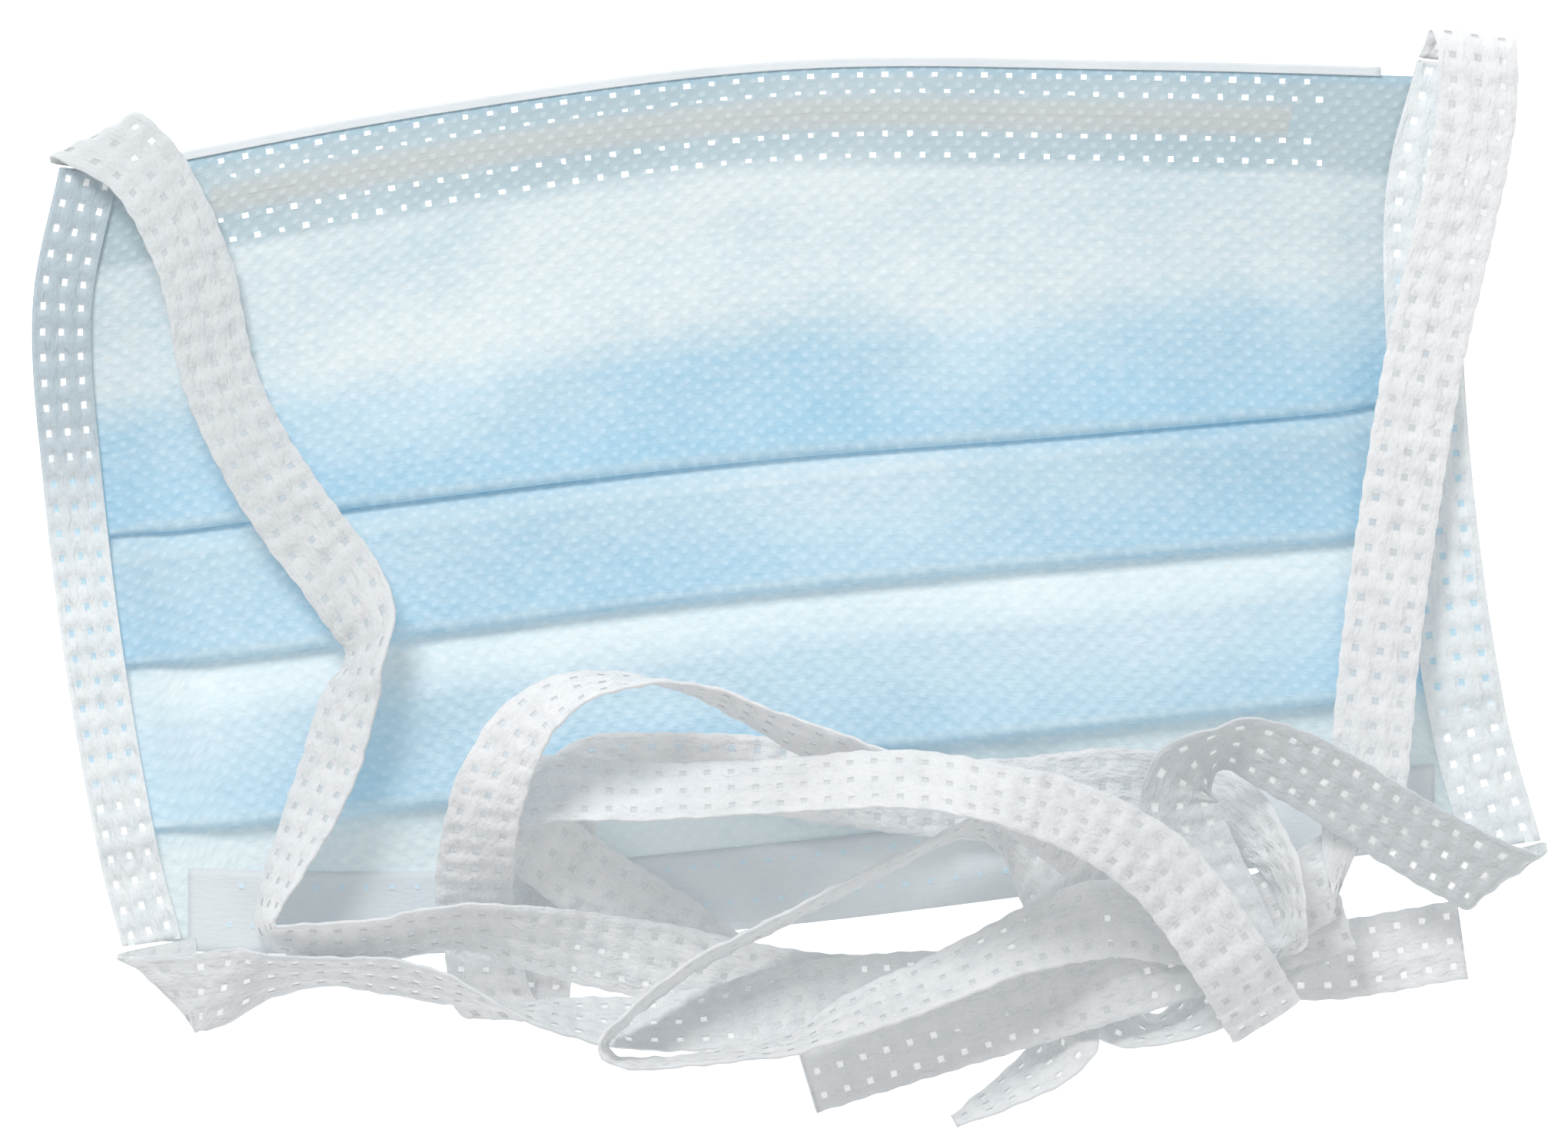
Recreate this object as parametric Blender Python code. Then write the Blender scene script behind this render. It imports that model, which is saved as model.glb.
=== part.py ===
"""A tie-on surgical face mask that lies flat, outer side up, with its ties thrown over its lower half.

Metres, +Z up. +X runs along the mask's width and +Y towards its nose edge. The mask lies turned a
few degrees, as a thing put down by hand does.
"""

import math

import bpy
import numpy as np
from mathutils import Vector
from mathutils.bvhtree import BVHTree
from mathutils.kdtree import KDTree

# The mask and its cloth
MASK_WIDTH = 0.180
MASK_HEIGHT = 0.100
CLOTH_WALL = 0.0010
LAYER_GAP = 0.00025
PRESSED = 0.5  # the cloth's wall and gaps inside the side bindings, as a share of the open ones
PRESSED_REACH = 0.010
PLEAT_DEPTH = 0.012
DOME_RISE = 0.009
DOME_FLATNESS = 2.5
DOME_ROUNDNESS = 1.3
DOME_MARGIN = 0.004  # the bulge starts this share of the width inside the bindings

# What is folded round the edges
NEIGHBOUR_GAP = 0.0003
EDGE_ROOM = 0.0012  # between the cloth's edge and the fold round it
HEM_END_ROOM = 0.0030  # between a hem's end and the side binding
TAPE_WALL = 0.0010
TIE_WIDTH = 0.010
LEFT_BINDING_SHARE = 0.75  # the left binding is rolled inward, so it looks narrower
RIGHT_BINDING_SHARE = 0.97
HEM_WALL = 0.0010
TOP_HEM_FRONT = 0.0018
TOP_HEM_BACK = 0.0140
BOTTOM_HEM_FRONT = 0.0105
BOTTOM_HEM_BACK = 0.0080
WIRE_WIDTH = 0.0040
WIRE_THICKNESS = 0.0008
WIRE_DEPTH = 0.0070
WIRE_SPAN = (0.10, 0.885)

# How the ties are swept and laid over one another
SECTION_STEP = 0.0035
SECTION_TURN = 0.30
PROBE_STEP = 0.0012
PROBE_SIDES = (-1.0, -0.75, -0.5, -0.25, 0.0, 0.25, 0.5, 0.75, 1.0)
PROBE_REACH = 0.0013
PROBE_ROOM = 0.0007
START_ROOM = 0.003
SELF_ROOM = 0.016
STRAP_ROOM = TAPE_WALL + NEIGHBOUR_GAP + 0.0002
CROSSING_SPAN = 2
SETTLE_STEPS = 120

# Lines across the mask: height shares at five stations from its left side to its right
LINE_STATIONS = (-0.5, -0.25, 0.0, 0.25, 0.5)
TOP_EDGE = (0.500, 0.585, 0.642, 0.642, 0.630)
PLEATS = (
    (0.043, 0.098, 0.147, 0.181, 0.219),
    (-0.121, -0.070, -0.018, 0.022, 0.059),
    (-0.327, -0.282, -0.228, -0.184, -0.140),
)
BOTTOM_EDGE = (-0.478, -0.485, -0.449, -0.394, -0.341)

# The two sides, top to bottom: (height share, width share)
LEFT_SIDE = (
    (0.504, -0.487),
    (0.330, -0.506),
    (0.120, -0.499),
    (-0.130, -0.482),
    (-0.370, -0.458),
    (-0.471, -0.443),
)
RIGHT_SIDE = (
    (0.637, 0.471),
    (0.480, 0.449),
    (0.280, 0.449),
    (0.040, 0.460),
    (-0.200, 0.481),
    (-0.349, 0.504),
)

# Shallow ridges and dents of the cloth: place and size as shares of the width, turn in degrees,
# rise as a share of the dome's
DENTS = (
    # across, up, turn, long, broad, rise
    (0.060, 0.190, -42.0, 0.130, 0.022, 0.100),
    (0.150, 0.200, -35.0, 0.120, 0.020, -0.080),
    (-0.170, 0.150, 28.0, 0.150, 0.025, 0.080),
    (-0.060, 0.230, 12.0, 0.160, 0.020, -0.070),
    (0.260, 0.090, -20.0, 0.110, 0.020, 0.060),
)

# The ties. Each row: across as a share of the mask's width, up as a share of its height, rise above
# the mask's dome as a share of the tie's width, the plan direction of the tie's breadth and the
# slope of that breadth in degrees
UPPER_LEFT_TIE = (
    (-0.486, 0.507, 0.22, 172, 0),
    (-0.485, 0.545, 0.42, 206, 0),
    (-0.460, 0.526, 0.66, 225, 8),
    (-0.442, 0.492, 0.78, 223, 18),
    (-0.412, 0.380, 0.86, 202, 24),
    (-0.395, 0.244, 0.88, 196, 22),
    (-0.373, 0.156, 0.88, 203, 18),
    (-0.340, 0.062, 0.82, 215, 5),
    (-0.306, -0.019, 0.78, 228, 0),
    (-0.289, -0.079, 0.92, 215, -42),
    (-0.294, -0.120, 1.00, 185, -60),
    (-0.304, -0.169, 0.95, 163, -45),
    (-0.318, -0.251, 0.92, 161, -43),
    (-0.340, -0.344, 0.94, 159, -55),
    (-0.359, -0.418, 0.98, 168, -70),
    (-0.361, -0.455, 0.98, 215, -75),
    (-0.339, -0.467, 0.98, 262, -64),
    (-0.281, -0.464, 1.05, 270, -60),
    (-0.227, -0.449, 1.38, 275, -56),
    (-0.178, -0.463, 1.32, 262, -39),
    (-0.124, -0.482, 0.98, 260, -20),
    (-0.081, -0.496, 0.70, 259, -10),
    (-0.038, -0.514, 0.46, 258, -6),
    (0.005, -0.529, 0.38, 258, 0),
    (0.030, -0.534, 0.34, 258, 0),
    (0.044, -0.536, 0.20, 258, 0),
    (0.028, -0.538, 0.06, 256, 0),
    (-0.016, -0.538, 0.10, 246, 0),
    (-0.066, -0.473, 0.48, 238, 0),
    (-0.103, -0.430, 0.62, 240, 5),
    (-0.135, -0.393, 0.72, 240, 5),
    (-0.164, -0.354, 0.86, 240, 6),
    (-0.200, -0.298, 1.06, 256, 8),
    (-0.172, -0.277, 1.34, 268, 32),
    (-0.092, -0.279, 1.66, 270, 46),
    (-0.005, -0.271, 1.98, 272, 50),
    (0.086, -0.262, 2.24, 271, 46),
    (0.146, -0.279, 2.22, 262, 44),
    (0.200, -0.308, 2.14, 246, 36),
    (0.243, -0.349, 2.02, 232, 26),
    (0.271, -0.392, 1.90, 222, 15),
    (0.305, -0.475, 1.72, 214, 5),
    (0.337, -0.567, 1.00, 212, 0),
)
LOWER_LEFT_TIE = (
    (-0.440, -0.476, 0.22, 12, 0),
    (-0.435, -0.529, 0.42, -43, 0),
    (-0.400, -0.530, 0.64, -98, -15),
    (-0.369, -0.516, 0.76, -92, -48),
    (-0.329, -0.507, 0.58, -88, -68),
    (-0.278, -0.512, 0.64, -97, -64),
    (-0.228, -0.532, 0.92, -103, -72),
    (-0.194, -0.552, 0.94, -105, -90),
    (-0.165, -0.558, 0.84, -97, -110),
    (-0.135, -0.566, 0.52, -92, -122),
    (-0.103, -0.570, 0.50, -88, -130),
    (-0.043, -0.562, 1.00, -82, -142),
    (0.005, -0.542, 0.84, -82, -154),
    (0.049, -0.536, 0.50, -85, -170),
    (0.103, -0.531, 0.14, -90, -180),
    (0.156, -0.531, 0.07, -92, -180),
    (0.202, -0.533, 0.08, -98, -176),
    (0.232, -0.550, 0.34, -112, -150),
    (0.255, -0.580, 0.54, -92, -112),
    (0.281, -0.567, 0.60, -55, -118),
    (0.306, -0.525, 0.66, -55, -160),
    (0.345, -0.475, 0.70, -65, -180),
    (0.386, -0.433, 0.74, -72, -180),
    (0.391, -0.430, 0.88, -72, -180),
    (0.386, -0.433, 1.02, -72, -180),
    (0.361, -0.447, 1.05, -73, -180),
    (0.291, -0.485, 1.14, -73, -180),
    (0.232, -0.517, 1.12, -73, -180),
    (0.173, -0.549, 0.66, -73, -180),
    (0.097, -0.590, 0.38, -73, -180),
    (0.015, -0.635, 0.26, -73, -180),
)
UPPER_RIGHT_TIE = (
    (0.474, 0.642, 0.22, 174, 0),
    (0.483, 0.675, 0.42, 172, 0),
    (0.486, 0.632, 0.64, 172, 0),
    (0.484, 0.563, 0.66, 170, 0),
    (0.469, 0.428, 0.68, 167, 0),
    (0.448, 0.263, 0.70, 168, 0),
    (0.428, 0.043, 0.72, 169, 0),
    (0.417, -0.101, 0.72, 172, 0),
    (0.411, -0.213, 0.78, 174, 0),
    (0.406, -0.293, 0.88, 178, 0),
    (0.398, -0.360, 0.70, 241, 0),
    (0.360, -0.409, 0.48, 306, 0),
    (0.328, -0.436, 0.48, 285, 0),
    (0.281, -0.448, 0.62, 268, 0),
    (0.227, -0.438, 0.90, 278, 6),
    (0.169, -0.467, 1.02, 294, 40),
    (0.102, -0.520, 0.98, 294, 54),
    (0.043, -0.562, 1.20, 288, 64),
    (0.005, -0.594, 0.98, 281, 76),
    (-0.032, -0.606, 0.66, 276, 82),
    (-0.086, -0.618, 0.66, 268, 85),
    (-0.117, -0.615, 1.05, 225, 85),
    (-0.125, -0.591, 1.55, 170, 85),
    (-0.111, -0.564, 1.60, 132, 84),
    (-0.065, -0.499, 1.56, 120, 82),
    (-0.011, -0.449, 1.46, 118, 82),
    (0.070, -0.375, 1.34, 118, 82),
    (0.124, -0.329, 1.24, 115, 80),
    (0.144, -0.326, 1.00, 104, 62),
    (0.170, -0.350, 0.64, 72, 24),
    (0.191, -0.402, 0.56, 38, 4),
    (0.197, -0.475, 0.28, 10, 0),
    (0.193, -0.543, 0.26, -12, 4),
    (0.194, -0.603, 0.36, -44, 44),
    (0.162, -0.650, 0.50, -56, 64),
    (0.119, -0.696, 0.54, -58, 85),
)
LOWER_RIGHT_TIE = (
    (0.507, -0.359, 0.22, 15, 0),
    (0.505, -0.392, 0.52, 36, 0),
    (0.469, -0.366, 0.86, 60, 12),
    (0.421, -0.316, 1.18, 61, 19),
    (0.373, -0.263, 1.38, 60, 22),
    (0.335, -0.230, 1.54, 66, 34),
    (0.313, -0.219, 1.64, 80, 50),
    (0.301, -0.226, 1.70, 95, 60),
    (0.282, -0.254, 1.58, 135, 36),
    (0.276, -0.298, 1.44, 185, 8),
    (0.291, -0.368, 1.42, 200, 0),
    (0.309, -0.436, 1.42, 200, 0),
    (0.327, -0.494, 1.36, 197, -12),
    (0.354, -0.446, 1.68, 188, -72),
    (0.350, -0.392, 1.50, 182, -68),
    (0.334, -0.344, 1.15, 211, -55),
    (0.310, -0.300, 0.88, 238, -32),
    (0.270, -0.279, 0.76, 262, -20),
    (0.227, -0.273, 0.72, 270, -16),
    (0.167, -0.286, 0.66, 268, -10),
    (0.105, -0.287, 0.62, 268, -6),
    (0.043, -0.273, 0.60, 262, -5),
    (-0.011, -0.259, 0.64, 264, -10),
    (-0.054, -0.254, 0.70, 268, -15),
    (-0.092, -0.252, 0.72, 276, -20),
    (-0.127, -0.254, 0.70, 300, -20),
    (-0.148, -0.276, 0.64, 330, -12),
    (-0.159, -0.324, 0.57, 350, -4),
    (-0.168, -0.383, 0.48, 355, 0),
    (-0.173, -0.446, 0.45, 355, 0),
    (-0.176, -0.483, 0.43, 355, 0),
    (-0.178, -0.527, 0.08, 355, 0),
    (-0.193, -0.566, 0.19, 358, 0),
    (-0.207, -0.527, 0.30, 358, 0),
    (-0.209, -0.483, 0.60, 358, 0),
    (-0.216, -0.417, 0.90, 360, 8),
    (-0.214, -0.353, 1.45, 356, 28),
    (-0.201, -0.261, 2.05, 344, 34),
    (-0.175, -0.184, 2.20, 318, 48),
    (-0.143, -0.148, 2.15, 292, 66),
    (-0.092, -0.140, 1.92, 265, 88),
    (-0.051, -0.157, 1.78, 248, 101),
    (-0.011, -0.191, 1.62, 242, 108),
    (0.030, -0.224, 1.44, 242, 118),
    (0.059, -0.247, 1.30, 256, 122),
    (0.097, -0.263, 1.24, 264, 124),
    (0.146, -0.281, 1.26, 256, 128),
    (0.189, -0.318, 1.10, 244, 152),
    (0.221, -0.356, 0.74, 238, 176),
    (0.259, -0.412, 0.50, 232, 180),
    (0.297, -0.461, 0.28, 242, 180),
    (0.334, -0.487, 0.08, 260, 180),
    (0.378, -0.494, 0.06, 275, 180),
    (0.476, -0.467, 0.06, 278, 180),
)

COLOURS = {
    "sky_blue": (0.62, 0.82, 0.90, 1.0),
    "white": (0.90, 0.91, 0.92, 1.0),
    "tie_white": (0.86, 0.87, 0.88, 1.0),
    "wire_grey": (0.60, 0.62, 0.64, 1.0),
}


def smooth(value):
    """A soft step from 0 to 1."""
    t = min(1.0, max(0.0, value))
    return t * t * (3.0 - 2.0 * t)


def curve_at(knots, values, at):
    """The smooth curve through values at knots, read at one place. Knots rise."""
    last = len(knots) - 1
    k = 0
    while k < last - 1 and at > knots[k + 1]:
        k += 1
    slopes = []
    for i in (k, k + 1):
        low, high = max(0, i - 1), min(last, i + 1)
        slopes.append((values[high] - values[low]) / (knots[high] - knots[low]))
    step = knots[k + 1] - knots[k]
    t = (at - knots[k]) / step
    if t <= 0.0:
        return values[k] + slopes[0] * (at - knots[k])
    if t >= 1.0:
        return values[k + 1] + slopes[1] * (at - knots[k + 1])
    h = t * t * (3.0 - 2.0 * t)
    rise = t * (1.0 - t) ** 2 * slopes[0] - t * t * (1.0 - t) * slopes[1]
    return values[k] * (1.0 - h) + values[k + 1] * h + rise * step


def line_y(line, x):
    """Where a line across the mask is at x."""
    return MASK_HEIGHT * curve_at(LINE_STATIONS, line, x / MASK_WIDTH)


def side_x(side, y):
    """Where a side of the mask is at y."""
    rows = side[::-1]
    knots = [row[0] for row in rows]
    values = [row[1] for row in rows]
    share = min(knots[-1], max(knots[0], y / MASK_HEIGHT))
    return MASK_WIDTH * curve_at(knots, values, share)


def station_x(u, y):
    """The place that is the share u of the way from the left side to the right."""
    left = side_x(LEFT_SIDE, y)
    return left + (side_x(RIGHT_SIDE, y) - left) * u


def shares_at(x, y):
    """How far (x, y) is from the left side and from the top edge, as shares kept within the mask."""
    left = side_x(LEFT_SIDE, y)
    u = (x - left) / (side_x(RIGHT_SIDE, y) - left)
    top = line_y(TOP_EDGE, x)
    v = (top - y) / (top - line_y(BOTTOM_EDGE, x))
    return min(1.0, max(0.0, u)), min(1.0, max(0.0, v))


def dome(x, y):
    """How far the mask bulges at (x, y). It is nothing along the edges and off the mask."""
    u, v = shares_at(x, y)
    held = TIE_WIDTH / 2 / MASK_WIDTH + DOME_MARGIN
    u = min(1.0, max(0.0, (u - held) / (1.0 - 2.0 * held)))
    across = 1.0 - abs(2.0 * u - 1.0) ** DOME_FLATNESS
    bulge = across * math.sin(math.pi * v) ** DOME_ROUNDNESS
    return DOME_RISE * bulge * (1.0 + dents(x, y))


def dents(x, y):
    """The shallow ridges and dents of the cloth, as a share of the bulge."""
    total = 0.0
    for across, up, turn, length, breadth, rise in DENTS:
        dx, dy = x - across * MASK_WIDTH, y - up * MASK_WIDTH
        c, s = math.cos(math.radians(turn)), math.sin(math.radians(turn))
        a = (dx * c + dy * s) / (length * MASK_WIDTH)
        b = (dy * c - dx * s) / (breadth * MASK_WIDTH)
        total += rise * math.exp(-a * a - b * b)
    return total


def rest_level(x, y):
    """The underside of the cloth's lowest layer."""
    v = shares_at(x, y)[1]
    casing = WIRE_THICKNESS + NEIGHBOUR_GAP
    lift = casing * (1.0 - smooth((v - 0.14) / 0.12))
    return HEM_WALL + NEIGHBOUR_GAP + lift + dome(x, y)


def cloth_share(u):
    """The cloth's wall beside the open one: it is pressed thin inside the bindings."""
    inside = min(u, 1.0 - u) * MASK_WIDTH - TIE_WIDTH / 2
    return PRESSED + (1.0 - PRESSED) * smooth(inside / PRESSED_REACH)


def panel(points, start, end, low_until, high_from, pitch):
    """Adds a panel from start down to end, rising from the bottom layer to the top one."""
    for i in range(1, 6):
        y = start + (end - start) * i / 6
        span = max(1e-6, low_until - high_from)
        points.append((y, 2.0 * pitch * smooth((low_until - y) / span)))


def cloth_path(x_at, pitch):
    """The cloth's middle line down the mask at one station, as (y, height above the lowest layer)."""
    top = line_y(TOP_EDGE, x_at) - HEM_WALL - EDGE_ROOM
    bottom = line_y(BOTTOM_EDGE, x_at) + HEM_WALL + EDGE_ROOM
    folds = [line_y(line, x_at) for line in PLEATS]
    points = [(top, 0.0)]
    start, low_until = top, top - TOP_HEM_BACK
    for fold in folds:
        inner = fold + PLEAT_DEPTH
        panel(points, start, inner, low_until, inner, pitch)
        points += [(inner, 2.0 * pitch), (fold + PLEAT_DEPTH / 2, 2.0 * pitch)]
        for i in range(5):
            turn = math.pi * (0.5 - i / 4)
            points.append((fold - pitch / 2 * math.cos(turn), pitch * (1.5 + 0.5 * math.sin(turn))))
        points.append((fold + PLEAT_DEPTH / 2, pitch))
        for i in range(5):
            turn = math.pi * (0.5 - i / 4)
            points.append((inner + pitch / 2 * math.cos(turn), pitch * (0.5 + 0.5 * math.sin(turn))))
        points.append((fold + PLEAT_DEPTH / 2, 0.0))
        points.append((fold, 0.0))
        start, low_until = fold, fold
    for i in range(1, 6):
        points.append((start + (bottom - start) * i / 5, 0.0))
    return points


def mesh_object(name, points, faces, material):
    """An object of the given points and faces, facing out."""
    mesh = bpy.data.meshes.new(name)
    mesh.from_pydata([tuple(p) for p in points], [], faces)
    mesh.validate()
    mesh.update()
    made = bpy.data.objects.new(name, mesh)
    made.data.materials.append(material)
    return made


def loft(name, rings, material):
    """A closed solid through rings of equal length, capped at both ends."""
    n = len(rings[0])
    points = [p for ring in rings for p in ring]
    faces = []
    for k in range(len(rings) - 1):
        for i in range(n):
            j = (i + 1) % n
            faces.append((k * n + i, k * n + j, (k + 1) * n + j, (k + 1) * n + i))
    half = n // 2
    last = (len(rings) - 1) * n
    for i in range(half - 1):
        a, b = i, i + 1
        c, d = n - 2 - i, n - 1 - i
        faces.append((d, c, b, a))
        faces.append((last + a, last + b, last + c, last + d))
    return mesh_object(name, points, faces, material)


def thick_ring(path, half):
    """The ring round a middle line in a plane: one side out, the other back."""
    upper, lower = [], []
    for i, (y, z) in enumerate(path):
        before = path[max(0, i - 1)]
        after = path[min(len(path) - 1, i + 1)]
        dy, dz = after[0] - before[0], after[1] - before[1]
        size = math.hypot(dy, dz)
        ny, nz = -dz / size * half, dy / size * half
        upper.append((y - ny, z - nz))
        lower.append((y + ny, z + nz))
    return upper + lower[::-1]


def mask_body(material):
    """The pleated cloth."""
    stations = [0.0, 0.014, 0.030, 0.055, 0.10, 0.18, 0.28, 0.39, 0.50]
    stations += [1.0 - u for u in stations[-2::-1]]
    rings = []
    for u in stations:
        share = cloth_share(u)
        wall = CLOTH_WALL * share
        pitch = wall + LAYER_GAP * share
        x_at = (u - 0.5) * MASK_WIDTH
        ring = []
        for y, z in thick_ring(cloth_path(x_at, pitch), wall / 2):
            x = station_x(u, y)
            ring.append((x, y, z + wall / 2 + rest_level(x, y)))
        rings.append(ring)
    return loft("mask_body", rings, material)


def hem_span(edge, depth):
    """The two x between which a hem lies clear of both side bindings."""
    low, high = [], []
    for reach in (-0.02 * MASK_HEIGHT, depth):
        y = line_y(edge, -0.46 * MASK_WIDTH) + reach
        low.append(side_x(LEFT_SIDE, y) + TIE_WIDTH * LEFT_BINDING_SHARE / 2)
        y = line_y(edge, 0.46 * MASK_WIDTH) + reach
        high.append(side_x(RIGHT_SIDE, y) - TIE_WIDTH * RIGHT_BINDING_SHARE / 2)
    return max(low) + HEM_END_ROOM, min(high) - HEM_END_ROOM


def cloth_top(x, y):
    """The cloth's upper face where it lies in a single low layer."""
    u = shares_at(x, y)[0]
    return rest_level(x, y) + CLOTH_WALL * cloth_share(u)


def hem(name, edge, inward, front, back, casing, material):
    """A strip folded round an edge of the mask. Inward is the way to the mask's middle along Y."""
    steps = 18
    rings = []
    low, high = hem_span(edge, inward * max(front, back))
    for k in range(steps + 1):
        x = low + (high - low) * k / steps
        y_edge = line_y(edge, x)

        def outer(s, side):
            y = y_edge + inward * s
            if side > 0:
                return cloth_top(x, y) + NEIGHBOUR_GAP
            return rest_level(x, y) - NEIGHBOUR_GAP - casing

        ring = []
        parts = 4
        for i in range(parts + 1):
            s = front * (1.0 - i / parts)
            ring.append((x, y_edge + inward * s, outer(s, 1) + HEM_WALL))
        for i in range(parts + 1):
            s = back * i / parts
            ring.append((x, y_edge + inward * s, outer(s, -1) - HEM_WALL))
        for i in range(parts + 1):
            s = back + (HEM_WALL - back) * i / parts
            ring.append((x, y_edge + inward * s, outer(s, -1)))
        for i in range(parts + 1):
            s = HEM_WALL + (front - HEM_WALL) * i / parts
            ring.append((x, y_edge + inward * s, outer(s, 1)))
        rings.append(ring if inward > 0 else ring[::-1])
    return loft(name, rings, material)


def nose_wire(material):
    """The flat strip in the top hem's casing."""
    steps = 24
    rings = []
    for k in range(steps + 1):
        u = WIRE_SPAN[0] + (WIRE_SPAN[1] - WIRE_SPAN[0]) * k / steps
        x = (u - 0.5) * MASK_WIDTH
        y_edge = line_y(TOP_EDGE, x)
        ring = []
        for s, thick in ((-0.5, 0.0), (0.5, 0.0), (0.5, 1.0), (-0.5, 1.0)):
            y = y_edge - WIRE_DEPTH + s * WIRE_WIDTH
            level = rest_level(x, y) - NEIGHBOUR_GAP * 0.7
            ring.append((x, y, level - WIRE_THICKNESS * (1.0 - thick)))
        rings.append(ring)
    return loft("nose_wire", rings, material)


def binding(name, side, share, outward, y_top, y_bottom, material):
    """The tape folded round a side of the mask."""
    pressed_stack = PRESSED * (3.0 * CLOTH_WALL + 2.0 * LAYER_GAP)
    slot = pressed_stack + 2.0 * NEIGHBOUR_GAP
    half = TIE_WIDTH * share / 2
    height = slot + 2.0 * TAPE_WALL
    steps = 30
    rings = []
    for k in range(steps + 1):
        y = y_top + (y_bottom - y_top) * k / steps
        ahead = side_x(side, y - 0.001) - side_x(side, y + 0.001)
        along = Vector((ahead, -0.002)).normalized()
        across = Vector((-along.y, along.x)) * outward * -1.0
        if across.x * outward > 0:
            across = -across
        x = side_x(side, y)
        ring = []
        for s, z in (
            (1.0, height),
            (-1.0, height),
            (-1.0, 0.0),
            (1.0, 0.0),
            (1.0, TAPE_WALL),
            (-1.0 + TAPE_WALL / half, TAPE_WALL),
            (-1.0 + TAPE_WALL / half, TAPE_WALL + slot),
            (1.0, TAPE_WALL + slot),
        ):
            ring.append((x + across.x * s * half, y + across.y * s * half, z))
        rings.append(ring if outward < 0 else ring[::-1])
    return loft(name, rings, material)


def route(rows):
    """The sections of a tie along its table: x, y and z of the middle, turn and slope of the breadth.

    The height rises and falls without overshooting a row. The other values run as a smooth curve.
    """
    knots = []
    for across, up, rise, turn, slope in rows:
        x, y = across * MASK_WIDTH, up * MASK_HEIGHT
        z = rise * TIE_WIDTH + dome(x, y)
        knots.append((x, y, z, math.radians(turn), math.radians(slope)))
    knots = np.array(knots)
    lengths = np.linalg.norm(np.diff(knots[:, :3], axis=0), axis=1)
    spans = np.sqrt(lengths)
    steps = np.diff(knots, axis=0) / spans[:, None]
    before, after = spans[:-1, None], spans[1:, None]
    slopes = np.vstack((steps[:1], (steps[:-1] * after + steps[1:] * before) / (before + after), steps[-1:]))
    for k in range(1, len(knots) - 1):
        low, high = steps[k - 1, 2], steps[k, 2]
        slopes[k, 2] = 2.0 * low * high / (low + high) if low * high > 0.0 else 0.0
    samples = []
    for k, span in enumerate(spans):
        turned = abs(knots[k + 1, 3:] - knots[k, 3:]).sum()
        parts = max(2, round(lengths[k] / SECTION_STEP), math.ceil(turned / SECTION_TURN))
        for i in range(parts):
            t = i / parts
            share = t * t * (3.0 - 2.0 * t)
            bend = t * (1.0 - t) ** 2 * slopes[k] - t * t * (1.0 - t) * slopes[k + 1]
            samples.append(knots[k] * (1.0 - share) + knots[k + 1] * share + bend * span)
    samples.append(knots[-1])
    return np.array(samples)


def spans_of(samples):
    """The half breadth of each section as a vector, and its unit normal."""
    before = samples[np.maximum(np.arange(len(samples)) - 1, 0), :3]
    after = samples[np.minimum(np.arange(len(samples)) + 1, len(samples) - 1), :3]
    along = after - before
    along /= np.linalg.norm(along, axis=1)[:, None]
    turn, slope = samples[:, 3], samples[:, 4]
    breadth = np.stack((np.cos(slope) * np.cos(turn), np.cos(slope) * np.sin(turn), np.sin(slope)), axis=1)
    square = np.cross(along, breadth)
    size = np.linalg.norm(square, axis=1)
    reach = TIE_WIDTH / 2 / np.maximum(0.9, size)
    return breadth * reach[:, None], square / size[:, None]


def strap_points(samples):
    """Points spread over a strap: the section before each, how far on to the next it is, and its
    offset from the middle line."""
    half, _ = spans_of(samples)
    places = []
    for k in range(len(samples) - 1):
        length = np.linalg.norm(samples[k + 1, :2] - samples[k, :2])
        parts = max(1, math.ceil(length / PROBE_STEP))
        for i in range(parts):
            t = i / parts
            middle = samples[k, :2] * (1.0 - t) + samples[k + 1, :2] * t
            arm = half[k] * (1.0 - t) + half[k + 1] * t
            for side in PROBE_SIDES:
                places.append((k, t, middle[0] + arm[0] * side, middle[1] + arm[1] * side, arm[2] * side))
    return np.array(places)


def ground_at(tree, x, y):
    """The top of what is built so far near (x, y), or the floor."""
    best = 0.0
    for dx, dy in ((1, 1), (1, -1), (-1, 1), (-1, -1)):
        start = Vector((x + dx * PROBE_ROOM, y + dy * PROBE_ROOM, 1.0))
        hit = tree.ray_cast(start, Vector((0.0, 0.0, -1.0)))[0]
        if hit is not None:
            best = max(best, hit.z)
    return best


def crossing_order(one, two, above):
    """For each near pair, 1 where its first strap lies over at that crossing and -1 elsewhere. Pairs
    of neighbouring sections belong to one crossing, and the sum of their heights decides it."""
    cells = {}
    for a, b, rise in zip(one, two, above):
        cells[(a, b)] = cells.get((a, b), 0.0) + rise
    crossing = {}
    totals = []
    for seed in cells:
        if seed in crossing:
            continue
        label = len(totals)
        totals.append(0.0)
        crossing[seed] = label
        waiting = [seed]
        while waiting:
            a, b = waiting.pop()
            totals[label] += cells[(a, b)]
            for da in range(-CROSSING_SPAN, CROSSING_SPAN + 1):
                for db in range(-CROSSING_SPAN, CROSSING_SPAN + 1):
                    near = (a + da, b + db)
                    if near in cells and near not in crossing:
                        crossing[near] = label
                        waiting.append(near)
    return np.array([1.0 if totals[crossing[(a, b)]] > 0.0 else -1.0 for a, b in zip(one, two)])


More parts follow.
